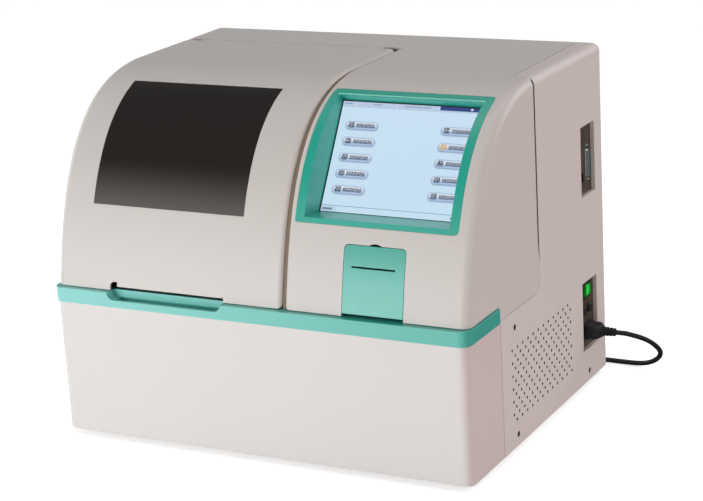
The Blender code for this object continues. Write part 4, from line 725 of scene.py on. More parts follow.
def makeFixedCover():
    size, (wide, deep, high) = fixedSize, case.values()
    left, wall, base, edge, inner, bend, seam = pick(covers,
                                                     "fixedLeft wall base edge innerEdge backRound sideSeam")
    bezelX, bezelZ, doorX, top, low = pick(size, "bezelX bezelZ doorX doorTop below")
    shares = coverShares([shareAt(height) for height in bezelZ])
    between = (bezelX[0], *doorX, bezelX[1])
    cover = coverBody("fixedCover", (left, wide), 0, size["sideLevel"], deep, (inner, edge), shares, between,
                      bend)
    across = (left - past, wide + past)
    cutOut(cover, coverBody("fixedInside", (left + wall, wide - wall), wall, size["insideLow"], deep - wall,
                            (inner - wall, edge - wall), shares, between, bend - wall),
           block("beltRoom", (left - past, wide - edge), (-past, deep), (low, base)),
           block("beltEnd", across, (-past, size["lowerEnd"]), (low, base)),
           block("backRoom", across, (size["back"], deep + past), (0, high - 13)))
    thin, opened, level = seam + size["seamThin"], seam - size["seamOpen"], size["sideLevel"]
    lowest, lower, upper, highest = size["seamZ"]
    behind = rounded([(thin, high + past, 0), (thin, highest, 0), (opened, upper, 0), (opened, lower, 0),
                      (thin, lowest, 0), (thin, level, size["sideCorner"]), (seam - 30, level, 0),
                      (seam - 30, low, 0), (deep + past, low, 0), (deep + past, high + past, 0)], 8)
    cutOut(cover, slab("panelRoom", behind, "x", size["flangeLeft"], wide + past))
    front = size["stripFront"]
    strip = rounded([(front, high - wall, 0), (front, high, 0), (deep, high, bend), (deep, high - bend - wall, 0),
                     (deep - wall, high - bend - wall, 0), (deep - wall, high - wall, bend - wall)],
                    covers["edgeSteps"])
    joinOn(cover, slab("rearStrip", strip, "x", *size["stripX"]))
    cutOut(cover, lowCorner(left, 1))
    gap, reach = size["bezelGap"], frontAt(top, wall + past)
    hole = band("bezelHole", (bezelX[0] - gap, bezelX[1] + gap), (bezelZ[0] - gap, bezelZ[1] + gap),
                (-past, wall + past))
    cutOut(cover, combined(hole, "INTERSECT", [bezelShape(gap)]))
    hole = boxed(doorX, (base - past, top), (0, 0, size["doorCorner"], size["doorCorner"]), 8)
    half, rise = size["arch"]
    radius = (half * half + rise * rise) / (2 * rise)
    arch = arc((sum(doorX) / 2, top + rise - radius), radius, 126, -72, 18)
    cutOut(cover, slab("doorHole", hole, "y", -past, reach), slab("fingerArch", arch, "y", -past, reach))
    finishPiece(cover, "coverShell", "fixed_cover", edge=(covers["small"], 2))


bezelSize = {
    "rim": 12.0, "flange": 3.5, "flangeTop": 2.1, "thick": 3.3, "flangeThick": 2.0, "wellWall": 2.5,
    "wellSkin": 1.5, "screenLow": (75.5, 313.0), "screenHigh": (156.5, 438.7), "wellLow": (37.5, 315.7),
    "wellHigh": (150.0, 446.5), "screenThick": 6.0, "screenSide": 1.3, "reach": 60.0, "gasket": 1.3,
    "gasketLow": 0.3, "gasketHigh": 0.8,
}


def screenWays():
    low, high = Vector(bezelSize["screenLow"]), Vector(bezelSize["screenHigh"])
    up = (high - low).normalized()
    return low, high, up, Vector((up.y, -up.x))


def makeBezel():
    size, (x, z) = bezelSize, pick(fixedSize, "bezelX bezelZ")
    rim, flange, thick, wall, reach, deep = pick(size, "rim flange thick wellWall reach screenThick")
    wellX = (x[0] + rim, x[1] - rim)
    low, high, up, inward = screenWays()
    back, openLow, openHigh = deep + 0.3, Vector(size["wellLow"]), Vector(size["wellHigh"])
    bezel = combined(band("screenBezel", x, z, (0, thick), wellX), "INTERSECT", [bezelShape(0)])
    joinOn(bezel, band("bezelFlange", (x[0] - flange, x[1] + flange), (z[0] - flange, z[1] + size["flangeTop"]),
                       (thick, thick + size["flangeThick"]), wellX))
    first, last = shareAt(openHigh.y), shareAt(openLow.y)
    shell = [low - up * wall + inward * (back + wall), high + up * wall + inward * (back + wall),
             openHigh + up * wall]
    shell += [curveAt(first + (last - first) * step / 14, size["wellSkin"]) for step in range(15)]
    joinOn(bezel, slab("bezelWell", [*shell, openLow - up * wall], "x", wellX[0] - wall, wellX[1] + wall))
    hollow = [openLow - inward * reach, openLow, low, low + inward * back, high + inward * back,
              high, openHigh, openHigh - inward * reach]
    cutOut(bezel, slab("bezelHollow", hollow, "x", *wellX))
    finishPiece(bezel, "bezelShadedTeal", "screen_bezel", edge=(0.9, 3))
    start, end = low + up * 0.3, high - up * 0.3

    def layer(name, outline, side):
        return slab(name, outline, "x", wellX[0] + side, wellX[1] - side)

    gasket = layer("screenGasket", [start, end, end + inward * 2, start + inward * 2], 0.3)
    margin, below = size["gasket"], size["gasketLow"]
    cutOut(gasket, layer("gasketHole", [start + up * below - inward * 2, end - up * margin - inward * 2,
                                        end - up * margin + inward * 4, start + up * below + inward * 4], margin))
    finishPiece(gasket, "softBlack", edge=(0.35, 2))
    front = size["gasketHigh"]
    screen = layer("touchScreen", [start + inward * front + up * 0.4, end + inward * front - up,
                                   end + inward * deep - up, start + inward * deep + up * 0.4],
                   size["screenSide"])
    finishPiece(screen, menuPaint(low, up), "touch_screen", edge=(0.2, 1))


# The screen's page, in millimetres from the lower left corner of the well
menu = {
    "high": 149.0, "rows": 5, "firstRow": 31.0, "rowStep": 21.4, "buttonHalf": (23.0, 5.4),
    "columns": (401.0, 534.3), "barLow": 140.5, "barLines": (387.0, 445.0, 502.5),
    "barMarks": ((370, 382), (412, 424), (455, 492)), "navy": ((504.8, 564.0), (142.9, 148.6)),
    "spot": 548.2, "lineHigh": 9.0, "box": ((378.5, 4.4), (11.5, 3.6)), "amberRow": 3.0,
    "footMarks": (((377.0, 4.4), 7.0), ((550.0, 4.6), 2.8)), "cellScale": 0.62, "strokeScale": 1.1,
    "page": rgb(206, 234, 252), "pageTop": rgb(214, 236, 255), "pill": rgb(178, 198, 228),
    "bar": rgb(186, 204, 232), "ink": rgb(30, 40, 72), "lit": rgb(232, 241, 252),
    "shade": rgb(98, 118, 166), "navyInk": rgb(42, 62, 128), "amber": rgb(226, 178, 60),
    "glow": 0.9, "glass": {"Base Color": (0.012, 0.014, 0.018), "Roughness": 0.16, "Coat Weight": 0.5,
                           "Coat Roughness": 0.05},
}


def buildPatch():
    # a rounded rectangle's mask on a page measured in millimetres
    tree, take, give = newGroup(
        "roundedPatch",
        [("Place", "Vector", None), ("Middle", "Vector", (0, 0, 0)), ("Half", "Vector", (1, 1, 0)),
         ("Corner", "Float", 0.5), ("Softness", "Float", 0.4)], [("Mask", "Float")])
    do = partial(calculate, tree)
    size = vectors(tree, "ABSOLUTE", vectors(tree, "SUBTRACT", take["Place"], take["Middle"]))
    parts = node(tree, "SeparateXYZ", {0: vectors(tree, "SUBTRACT", size, take["Half"])}).outputs
    across, upward = (do("ADD", part, take["Corner"]) for part in parts[:2])
    squares = [do("POWER", do("MAXIMUM", side, 0.0), 2.0) for side in (across, upward)]
    within = do("MINIMUM", do("MAXIMUM", across, upward), 0.0)
    distance = do("SUBTRACT", do("ADD", do("SQRT", do("ADD", *squares)), within), take["Corner"])
    feed(give["Mask"], do("SUBTRACT", 0.5, do("DIVIDE", distance, take["Softness"]), clamp=True))
    return tree


effects["roundedPatch"] = buildPatch()


def buildMenuPage():
    # a plain menu: two columns of pill buttons with small signs, a status bar and a foot line
    tree, take, give = newGroup("menuPage", [("Place", "Vector", None)], [("Color", "Color")])
    place, do = take["Place"], partial(calculate, tree)
    colour = menu["page"]

    def patch(place, middle, half, corner=0.3, softness=0.5):
        return node(tree, "Group", {"Place": place, "Middle": (*middle, 0), "Half": (*half, 10000),
                                    "Corner": corner, "Softness": softness},
                    node_tree=effects["roundedPatch"]).outputs["Mask"]

    def lay(share, ink, strength=1.0):
        nonlocal colour
        colour = mixColours(tree, do("MULTIPLY", share, strength), colour, menu[ink])

    across, upward = node(tree, "SeparateXYZ", {0: place}).outputs[:2]
    step, half, high, (leftColumn, rightColumn) = pick(menu, "rowStep buttonHalf high columns")
    fromRow = do("SUBTRACT", upward, menu["firstRow"] - step / 2)
    row = do("FLOOR", do("DIVIDE", fromRow, step))
    inRow = do("SUBTRACT", do("SUBTRACT", fromRow, do("MULTIPLY", row, step)), step / 2)
    inRows = do("MULTIPLY", do("GREATER_THAN", row, -0.5), do("LESS_THAN", row, menu["rows"] - 0.5))
    onRight = do("GREATER_THAN", across, (leftColumn + rightColumn) / 2)
    columnAt = do("MULTIPLY_ADD", onRight, rightColumn - leftColumn, leftColumn)
    button = node(tree, "CombineXYZ", {0: do("SUBTRACT", across, columnAt), 1: inRow}).outputs[0]
    shadow, pill, gloss = (do("MULTIPLY", patch(button, *shape), inRows) for shape in (
        ((0.5, -1.1), half, half[1], 2.6), ((0, 0), half, half[1], 0.7),
        ((0, 1.7), (half[0] - 2.4, half[1] - 3.2), 2.0, 1.6)))
    cells = node(tree, "TexVoronoi", {"Scale": menu["cellScale"], "Vector": place}, voronoi_dimensions="2D",
                 feature="F1", distance="CHEBYCHEV").outputs["Distance"]
    sign = do("MULTIPLY", patch(button, (-14.5, 0), (4.2, 3.7), 1.2, 0.6), do("GREATER_THAN", cells, 0.29))
    strokes = noise(tree, place, menu["strokeScale"], 1, noise_dimensions="2D")
    written = do("MULTIPLY", patch(button, (5.5, -0.2), (13.2, 2.7), 0.5, 0.6),
                 do("GREATER_THAN", strokes, 0.44))
    lay(do("MULTIPLY", do("DIVIDE", upward, high), 0.35, clamp=True), "pageTop")
    lay(shadow, "shade", 0.9)
    lay(pill, "pill")
    lay(gloss, "lit")
    lay(do("MULTIPLY", do("MAXIMUM", sign, do("MULTIPLY", written, 0.9)), inRows), "ink")
    isAmber = do("MULTIPLY", onRight, do("COMPARE", row, menu["amberRow"], 0.1))
    lay(do("MULTIPLY", do("MULTIPLY", sign, inRows), isAmber), "amber")
    lay(do("GREATER_THAN", upward, menu["barLow"]), "bar", 0.8)
    barMiddle = (menu["barLow"] + high + 1.5) / 2
    for edge in menu["barLines"]:
        lay(patch(place, (edge, barMiddle), (0.3, 4.5), 0.1, 0.4), "lit")
    for left, right in menu["barMarks"]:
        mark = patch(place, ((left + right) / 2, barMiddle - 0.4), ((right - left) / 2, 0.9), 0.2, 0.6)
        lay(do("MULTIPLY", mark, do("GREATER_THAN", strokes, 0.47)), "ink", 0.6)
    navyMiddle, navyHalf = zip(*((sum(side) / 2, (side[1] - side[0]) / 2) for side in menu["navy"]))
    lay(patch(place, navyMiddle, navyHalf, 0.3, 0.4), "navyInk")
    lay(patch(place, (menu["spot"], navyMiddle[1]), (1.6, 1.4), 1.3, 0.9), "lit")
    lay(patch(place, (467.0, menu["lineHigh"]), (100.0, 0.3), 0.1, 0.4), "shade")
    lay(patch(place, *menu["box"], 0.4), "bar", 0.6)
    for spot, halfWide in menu["footMarks"]:
        lay(patch(place, spot, (halfWide, 1.3), 0.3, 0.7), "ink", 0.7)
    feed(give["Color"], colour)
    return tree


effects["menuPage"] = buildMenuPage()


def menuPaint(low, up):
    paint, tree, shader = blankPaint("menuScreen")
    start = vectors(tree, "SUBTRACT", node(tree, "TexCoord").outputs["Object"], at(0, *low))
    across, upward = (vectors(tree, "DOT_PRODUCT", start, Vector(way) * 1000) for way in ((1, 0, 0), (0, *up)))
    page = node(tree, "CombineXYZ", {0: across, 1: upward}).outputs[0]
    group = node(tree, "Group", {"Place": page}, node_tree=effects["menuPage"])
    for key, value in {"Emission Color": group.outputs["Color"], "Emission Strength": menu["glow"],
                       **menu["glass"]}.items():
        feed(shader.inputs[key], value)
    return paint


doorSize = {
    "x": (427.6, 511.6), "z": (205.0, 288.4), "thick": 2.5, "corner": 6.0, "hinge": (15.0, 210.0), "barrel": 3.0,
    "lip": 1.5, "skin": 1.25, "pin": 1.5, "pinX": (423.1, 516.1),
    "slot": ((438.8, 498.4), (0, 26.5), (261.0, 263.2)), "platen": (31.0, 255.0), "platenRadius": 4.5,
    "platenX": (440.0, 497.5), "journal": 1.5, "journalReach": 3.1,
}


def makePrinterDoor():
    size, body = doorSize, "printer_door_body"
    x, z, thick, corner, hinge, skin = pick(size, "x z thick corner hinge skin")
    door = band("printerDoor", x, z, (0, thick))
    shape = boxed(x, (z[0] - past, z[1]), (0, 0, corner, corner), 8)
    combined(door, "INTERSECT", [slab("doorShape", shape, "y", -past, 60)])
    cutOut(door, block("doorSlot", *size["slot"]))
    finishPiece(door, "doorTealPaintedSheen", "printer_door", edge=(0.5, 2))
    hingeY, hingeZ = hinge
    barrel = pin("doorBarrel", size["barrel"], *x, "x", hinge, 32)
    joinOn(barrel, block("doorLip", x, (frontAt(hingeZ, skin), hingeY),
                         (hingeZ - size["lip"], hingeZ + size["lip"])),
           pin("doorPin", size["pin"], *size["pinX"], "x", hinge, 24))
    finishPiece(barrel, "tealPlastic", body=body)
    (platenY, platenZ), radius, (left, right), journal, reach = pick(
        size, "platen platenRadius platenX journal journalReach")
    low, high, behind = platenZ - radius, platenZ + radius, platenY + radius
    outline = [(frontAt(low, skin), low), (behind, low), (behind, high), (frontAt(high, skin), high)]
    for label, start in (("Left", left - reach), ("Right", right + reach - thick)):
        ear = slab("platenEar" + label, outline, "x", start, start + thick)
        finishPiece(ear, "tealPlastic", body=body, edge=(0.4, 2))
    roller = turned("platenRoller", [(0, left - reach), (journal, left - reach), (journal, left),
                                     (radius - 0.3, left), (radius, left + 0.3), (radius, right - 0.3),
                                     (radius - 0.3, right), (journal, right), (journal, right + reach),
                                     (0, right + reach)], "x", size["platen"], 40)
    finishPiece(roller, "softBlack", "platen_roller")


splitStrip = {"x": (342.7, 347.0), "depths": (3.4, 4.6), "end": 352.0}


def makeSplitStrip():
    # the groove between the lid and the fixed cover has a floor of darker tan than the covers: painted shade in
    # the groove
    (upper, lower), end = splitStrip["depths"], splitStrip["end"]
    outline = [curveAt(share, upper) for share in coverShares()]
    outline += [(end, case["high"] - upper), (end, case["high"] - lower)]
    outline += [curveAt(share, lower) for share in reversed(coverShares())]
    strip = loft("splitStrip", [[onSide("x", level, *point) for point in outline] for level in splitStrip["x"]])
    finishPiece(strip, "splitShadeTan")


makeFixedCover()
makeSplitStrip()
makeBezel()
makePrinterDoor()
print("fixed cover, screen and printer door made")


# Lower front panel and belt: each wraps a little way round the front corners

wrapSize = {
    "corner": 12.0, "panelEnd": 100.0, "panelHigh": 180.7, "panelWall": 3.0, "beltLow": 181.0, "beltTop": 200.5,
    "beltEnd": 96.0, "beltProud": 2.0, "beltWall": 3.0, "shelf": 20.0, "gripFloor": 190.6, "gripDepth": 16.0,
    "gripBackTop": 200.9, "gripWall": 1.6, "gripLip": 2.4, "gripSink": 6.0, "gripTurn": 10.0, "gripUnder": 5.0,
}


def wrap(name, proud, inset, end, low, high):
    right, radius = case["wide"], wrapSize["corner"] + proud
    inner = max(wrapSize["corner"] - inset, wrapSize["corner"] / 4)
    outline = rounded([(-proud, end, 0), (-proud, -proud, radius), (right + proud, -proud, radius),
                       (right + proud, end, 0), (right - inset, end, 0), (right - inset, inset, inner),
                       (inset, inset, inner), (inset, end, 0)], 10)
    return slab(name, outline, "z", low, high)


def makeFront():
    size = wrapSize
    panel = wrap("lowerFrontPanel", 0, *pick(size, "panelWall panelEnd"), 0, size["panelHigh"])
    finishPiece(panel, "frontShellPaintedLight", "lower_front_panel", edge=(0.8, 3))
    low, top, end, proud, beltWall, shelf = pick(size, "beltLow beltTop beltEnd beltProud beltWall shelf")
    belt = wrap("beltTrim", proud, shelf, end, low, top)
    cutOut(belt, wrap("beltInside", -beltWall, shelf * 2, end + past, low - past, top - beltWall))
    (left, right), back = lidSize["gripX"], size["gripDepth"] - proud
    floor, backTop, wall, lip, turn = pick(size, "gripFloor gripBackTop gripWall gripLip gripTurn")
    sunk, under, within = floor - size["gripSink"], back + size["gripUnder"], (left + turn, right - turn)
    joinOn(belt, block("gripBlock", (left - wall, right + wall), (-0.5, under + wall), (sunk - wall, top - 1.5)),
           block("gripBack", (left + turn / 2, right - turn / 2), (back - 0.3, back + wall / 2),
                 (floor - 1, backTop)))
    mouth = boxed((left, right), (floor, backTop + past), (turn, turn, 0, 0), 8)
    cutOut(belt, slab("gripMouth", mouth, "y", -proud - past, back),
           block("gripPocket", within, (lip, under), (sunk, floor)),
           block("gripOpening", within, (lip, back), (floor - 1, floor + 1)))
    finishPiece(belt, "beltTealPaintedSheen", "belt_trim", edge=(0.7, 3))


makeFront()
print("front panel and belt made")


# Side panels and back panel: folded steel, painted like the covers

sideSize = {
    "sheet": 2.0, "lowEnd": 100.6, "level": 181.6, "seam": 231.3, "corner": 15.0, "top": 451.0, "bendLeft": 572.6,
    "bend": 12.0, "cuts": (((383.0, 433.5), (264.0, 361.0)), ((377.5, 430.5), (46.5, 144.0))), "cutCorner": 1.0,
    "foldWall": 1.2, "foldStart": 594.35, "vent": (133.5, 132.0), "ventStep": 17.2, "ventDrop": 17.3,
    "ventRows": 6, "ventColumns": 12, "ventRadius": 2.1, "ventField": ((128.5, 345), (25, 137)),
    "screws": ((144.5, 160.0), (145.5, 15.0), (398.0, 13.5)), "screwHole": 4.1, "screwRadius": 3.8,
    "leftLevel": 200.5, "leftTop": 440.4, "leftBend": 17.0, "leftBendStart": 367.8, "edge": 0.3,
    "sealSkin": 0.5, "sealUnder": 3.2, "sealReach": 14,
}


def topBackRoom(x):
    deep, high, turn = case["deep"], case["high"], covers["backRound"]
    outline = [(deep + past, high + past), (deep + past, high - turn)]
    outline += arc((deep - turn, high - turn), turn, 0, 90, 8)
    return slab("topBackRoom", outline + [(deep - turn, high + past)], "x", *x)


def screw(name, axis, level, centre, out):
    # a countersunk screw with a cross recess, its head just under the face
    radius = sideSize["screwRadius"]
    head = turned(name, [(0, level - out * 0.5), (radius - 0.4, level - out * 0.5), (radius, level - out * 0.75),
                         (radius * 0.55, level - out * 2.6), (0, level - out * 2.6)], axis, centre, 28)
    deep, arm = sorted((level, level - out * 1.8)), radius * 0.62
    for half in ((0.34, arm), (arm, 0.34)):
        a, b = (around(middle, 2 * side) for middle, side in zip(centre, half))
        cutOut(head, block(name + "Cross", *{"x": (deep, a, b), "y": (a, deep, b)}[axis]))
    finishPiece(head, "screwSteel")


def sideSheet(name, outline, x, level, bendX, bendFrom):
    # a flat sheet with its upper edge bent over inwards; level is its outer face
    size, high, deep, turn, sheet = sideSize, case["high"], case["deep"], sideSize["bend"], sideSize["sheet"]
    panel = slab(name, outline, "x", *x)
    cutOut(panel, tubeRow(name + "Screws", "x", size["screws"], size["screwHole"], x[0] - past, x[1] + past, 24))
    inner = level + (sheet if bendX > level else -sheet)
    bend = rounded([(level, high - 2 * turn, 0), (level, high, turn), (bendX, high, 0), (bendX, high - sheet, 0),
                    (inner, high - sheet, turn - sheet), (inner, high - 2 * turn, 0)], 8)
    joinOn(panel, slab(name + "Bend", bend, "y", bendFrom, deep))
    return panel


def rearCorner(name, x, bendX):
    # closes the upper rear corner between a side panel's bend and the back
    high, deep, low = case["high"], case["deep"], backSize["z"][1] + 0.6
    outline = rounded([(x, low, 0), (x, high, sideSize["bend"]), (bendX, high, 0), (bendX, low, 0)], 8)
    return cutOut(slab(name, outline, "y", deep - covers["backRound"] - 4, deep),
                  topBackRoom((min(x, bendX) - past, max(x, bendX) + past)))


def finishSide(panel, name, cornerName, level, bendX, room):
    cutOut(panel, topBackRoom(room))
    joinOn(panel, rearCorner(cornerName, level, bendX))
    finishPiece(panel, "sideSteel", name, edge=(sideSize["edge"], 2, 50))


def makeSides():
    size, wide, deep, high = sideSize, *case.values()
    sheet, lowEnd, level, seam, turn, bendLeft, vent = pick(size, "sheet lowEnd level seam bend bendLeft vent")
    inner, top = wide - sheet, size["top"]
    outline = rounded([(lowEnd, 0, 0), (deep, 0, 0), (deep, top, 0), (seam, top, 0),
                       (seam, level, size["corner"]), (lowEnd, level, 0)], 8)
    right = sideSheet("rightSidePanel", outline, (inner, wide), wide, bendLeft, seam)
    step, drop = pick(size, "ventStep ventDrop")
    holes = []
    for row in range(size["ventRows"]):
        for column in range(size["ventColumns"]):
            place = (vent[0] + step * column, vent[1] - drop * row)
            holes += [place, (place[0] + step / 2, place[1] - drop / 2)]
    cutOut(right, tubeRow("ventHoles", "x", holes, size["ventRadius"], inner - past, wide + past, 16))
    thick, start = pick(size, "foldWall foldStart")
    for y, z in size["cuts"]:
        opening = boxed(y, z, size["cutCorner"], 4)
        cutOut(right, slab("sideCut", opening, "x", inner - past, wide + past))
        fold = block("cutFold", (start, inner + 0.5), (y[0] - thick, y[1] + thick), (z[0] - thick, z[1] + thick))
        joinOn(right, cutOut(fold, slab("foldRoom", opening, "x", start - past, wide + past)))
    finishSide(right, "right_side_panel", "rightCorner", wide, bendLeft, (bendLeft - past, wide + past))
    # the inner walls of the vent holes get the near-black paint: painted shade in the holes
    right.data.materials.append(paints["ventHoleShade"])
    fieldY, fieldZ = size["ventField"]
    for face in right.data.polygons:
        _, y, z = (face.center - corner) * 1000
        if fieldY[0] < y < fieldY[1] and fieldZ[0] < z < fieldZ[1] and abs(face.normal.x) < 0.3:
            face.material_index = 1
    # a dark brown strip in the gap between the fixed cover and the side panel: painted shade for the seam
    lowest, low, upper, highest = fixedSize["seamZ"]
    rear, front = seam - 0.05, covers["sideSeam"] - fixedSize["seamOpen"] + 0.1
    skin, under, reach = pick(size, "sealSkin sealUnder sealReach")
    shape = rounded([(wide - skin, lowest - 1, 0), (wide - skin, high - skin, turn - skin),
                     (bendLeft + reach, high - skin, 0), (bendLeft + reach, high - under, 0),
                     (wide - under, high - under, turn - under), (wide - under, lowest - 1, 0)], 8)
    shadeStrip = slab("seamShadeStrip", shape, "y", front - 1, rear)
    shape = [(rear + 1, lowest), (rear + 1, highest), (front, upper), (front, low)]
    combined(shadeStrip, "INTERSECT", [slab("shadeStripShape", shape, "x", bendLeft, wide + past)])
    finishPiece(shadeStrip, "seamShadeBrown")
    leftTop, leftLevel, leftBend = pick(size, "leftTop leftLevel leftBend")
    outline = [(lowEnd, 0), (deep, 0), (deep, leftTop), (seam, leftTop), (seam, leftLevel), (lowEnd, leftLevel)]
    left = sideSheet("leftSidePanel", outline, (0, sheet), 0, leftBend, size["leftBendStart"])
    finishSide(left, "left_side_panel", "leftCorner", 0, leftBend, (-past, 30))
    for count, place in enumerate(size["screws"]):
        screw("rightScrew" + str(count + 1), "x", wide, place, 1)
        screw("leftScrew" + str(count + 1), "x", 0, place, -1)


backSize = {
    "x": (2.6, 597.4), "z": (0.0, 449.4), "y": (458.0, 460.0), "grille": (470.0, 330.0), "slot": (28.0, 5.0),
    "rows": 7, "rowStep": 9.0, "rib": 4.0, "ports": (80.0, 120.0), "portZ": 70.0, "portRadius": 5.0,
    "portBore": 2.4, "portEnd": 470.0, "portBlock": ((62.5, 137.5), (427.7, 457.7), (58.0, 82.0)),
    "fanBolt": 35.75,
    "screws": ((12.0, 12.0), (300.0, 12.0), (588.0, 12.0), (12.0, 225.0), (588.0, 225.0), (12.0, 438.0),
               (300.0, 438.0), (588.0, 438.0)),
}


def fanBolts(middle):
    reach = backSize["fanBolt"]
    return [(middle[0] + a * reach, middle[1] + b * reach) for a in (-1, 1) for b in (-1, 1)]


def makeBack():
    size, rim = backSize, sideSize
    y, middle, (wide, tall), ports, portZ, radius, bore, end = pick(
        size, "y grille slot ports portZ portRadius portBore portEnd")
    room = (y[0] - past, y[1] + past)
    panel = block("backPanel", size["x"], y, size["z"])
    for row in range(size["rows"]):
        z = middle[1] + size["rowStep"] * (row - (size["rows"] - 1) / 2)
        for side in (-1, 1):
            slot = boxed(around(middle[0] + side * (wide + size["rib"]) / 2, wide), around(z, tall),
                         tall / 2 - 0.01, 6)
            cutOut(panel, slab("grilleSlot", slot, "y", *room))
    screws = [*size["screws"], *fanBolts(middle)]
    cutOut(panel, tubeRow("backScrews", "y", screws, rim["screwHole"], *room, 24),
           tubeRow("portHoles", "y", [(x, portZ) for x in ports], radius + 0.3, *room, 32))
    finishPiece(panel, "sideSteel", "back_panel", edge=(rim["edge"], 2, 50))
    for count, place in enumerate(screws):
        screw("backScrew" + str(count + 1), "y", y[1], place, 1)
    carrier = block("portBlock", *size["portBlock"], edge=0.8)
    front = size["portBlock"][1][1] - 1
    # a hose barb: a plain collar, then two sharp rings
    barb = [(0, front), (radius, front), (radius, 461.6), (radius - 0.5, 462.1), (radius - 1.4, 462.3),
            (radius - 0.7, 463.6), (radius - 1.4, 466.2), (radius - 0.7, 466.4), (radius - 1.7, end - 0.3),
            (radius - 2.0, end), (0, end)]
    for x in ports:
        joinOn(carrier, turned("port", barb, "y", (x, portZ), 40))
    for x in ports:
        cutOut(carrier, pin("portBore", bore, front - 12, end + past, "y", (x, portZ), 32))
    finishPiece(carrier, "brightSteel", "fluid_ports")


makeSides()
makeBack()
print("side and back panels made")


# What sits in the two side cut-outs

socketSize = {
    "face": 594.0, "data": (418.0, 304.0), "flange": (12.5, 53.0), "shell": (8.5, 39.0), "front": 597.0,
    "board": 582.4, "jack": 23.5, "jackRadius": 2.4, "jackEnd": 597.4, "jackBore": 1.3, "round": (395.5, 348.0),
    "roundRadius": 4.5, "small": (396.5, 289.0), "smallSize": (11.0, 14.0), "pinPitch": 2.76, "pinRow": 1.42,
    "pinRadius": 0.62, "ringPins": (2.0, 0.45),
}


def makeDataPanel():
    size = socketSize
    face, front, board, jackRadius, jackEnd = pick(size, "face front board jackRadius jackEnd")
    refined("connector_plate", "zincPlate", 0.3)
    refined("main_board", "circuitGreen", 0)
    (y, z), (half, tall) = size["data"], (side / 2 for side in size["shell"])

    def shellShape(inset, radius):
        # the shell leans in at its front edge
        lean = 1.2
        return rounded([(y - half + inset, z - tall + lean + inset, radius),
                        (y + half - inset, z - tall + inset, radius),
                        (y + half - inset, z + tall - inset, radius),
                        (y - half + inset, z + tall - lean - inset, radius)],
                       6)

    flange = block("dataFlange", (face + 0.3, face + 1.0), around(y, size["flange"][0]),
                   around(z, size["flange"][1]), 0.25)
    joinOn(flange, slab("dataShell", shellShape(0, 1.4), "x", board, front))
    cutOut(flange, slab("dataRoom", shellShape(0.7, 1.0), "x", face - 4, front + 2))
    finishPiece(flange, "brightSteel", "data_connector", edge=(0.15, 2, 50))
    insert = slab("dataInsert", shellShape(0.9, 0.9), "x", face - 3.9, front - 0.5)
    row, pitch = pick(size, "pinRow pinPitch")
    pins = [(y + row, z + pitch * (count - 6)) for count in range(13)]
    pins += [(y - row, z + pitch * (count - 5.5)) for count in range(12)]
    cutOut(insert, tubeRow("dataHoles", "x", pins, size["pinRadius"], front - 3, front + 1, 12))
    finishPiece(insert, "blueShell")
    for count, side in enumerate((-1, 1)):
        centre = (y, z + side * size["jack"])
        jack = turned("jackScrew" + str(count + 1), [(0, face + 1.05), (jackRadius, face + 1.05),
                                                     (jackRadius, jackEnd - 0.4), (jackRadius - 0.4, jackEnd),
                                                     (0, jackEnd)], "x", centre, 6)
        cutOut(jack, pin("jackBore", size["jackBore"], face + 2, front + 2, "x", centre, 24))
        finishPiece(jack, "brightSteel", flat=True)
    radius, middle, (spread, hole) = pick(size, "roundRadius round ringPins")
    ring = turned("roundConnector", [(0, board), (radius, board), (radius, face + 0.3),
                                     (radius + 0.8, face + 0.3), (radius + 1.0, face + 0.5),
                                     (radius + 1.0, face + 0.8), (radius + 0.8, face + 1.0),
                                     (radius - 0.7, face + 1.0), (radius - 0.7, face - 3),
                                     (0, face - 3)], "x", middle)
    finishPiece(ring, "brightSteel", "round_connector")
    core = turned("roundInsert", [(0, face - 2.9), (radius - 0.8, face - 2.9), (radius - 0.8, face + 0.4),
                                  (radius - 1.1, face + 0.7), (0, face + 0.7)], "x", middle, 40)
    cutOut(core, tubeRow("roundHoles", "x", ringOf(middle, spread, 30, 6), hole, face - 1, face + 2, 10),
           block("roundKey", (face - 1, face + 2), around(middle[0], 0.9), around(middle[1], 1.8)))
    finishPiece(core, "socketGreen")
    (y, z), (wide, tall) = size["small"], size["smallSize"]
    body = block("smallConnector", (board, face + 2), around(y, wide), around(z, tall), 0.4)
    cutOut(body, block("smallRoom", (face - 6, face + 3), around(y, wide - 3), around(z, tall - 3), 0.3))
    joinOn(body, block("smallTongue", (face - 7, face + 0.5), around(y, 2.2), around(z, tall - 7)))
    finishPiece(body, "blackPlastic", "small_connector", edge=(0.15, 2, 50))


powerSize = {
    "rim": 1.5, "fuseZ": 100.0, "fuses": {"Front": 394.5, "Rear": 414.5}, "fuseRadius": 6.5, "fuseCap": 3.0,
    "fuseSlot": (1.3, 9.0), "flutes": 12, "flute": 0.75, "fluteOut": 0.35, "deep": 18.0,
}


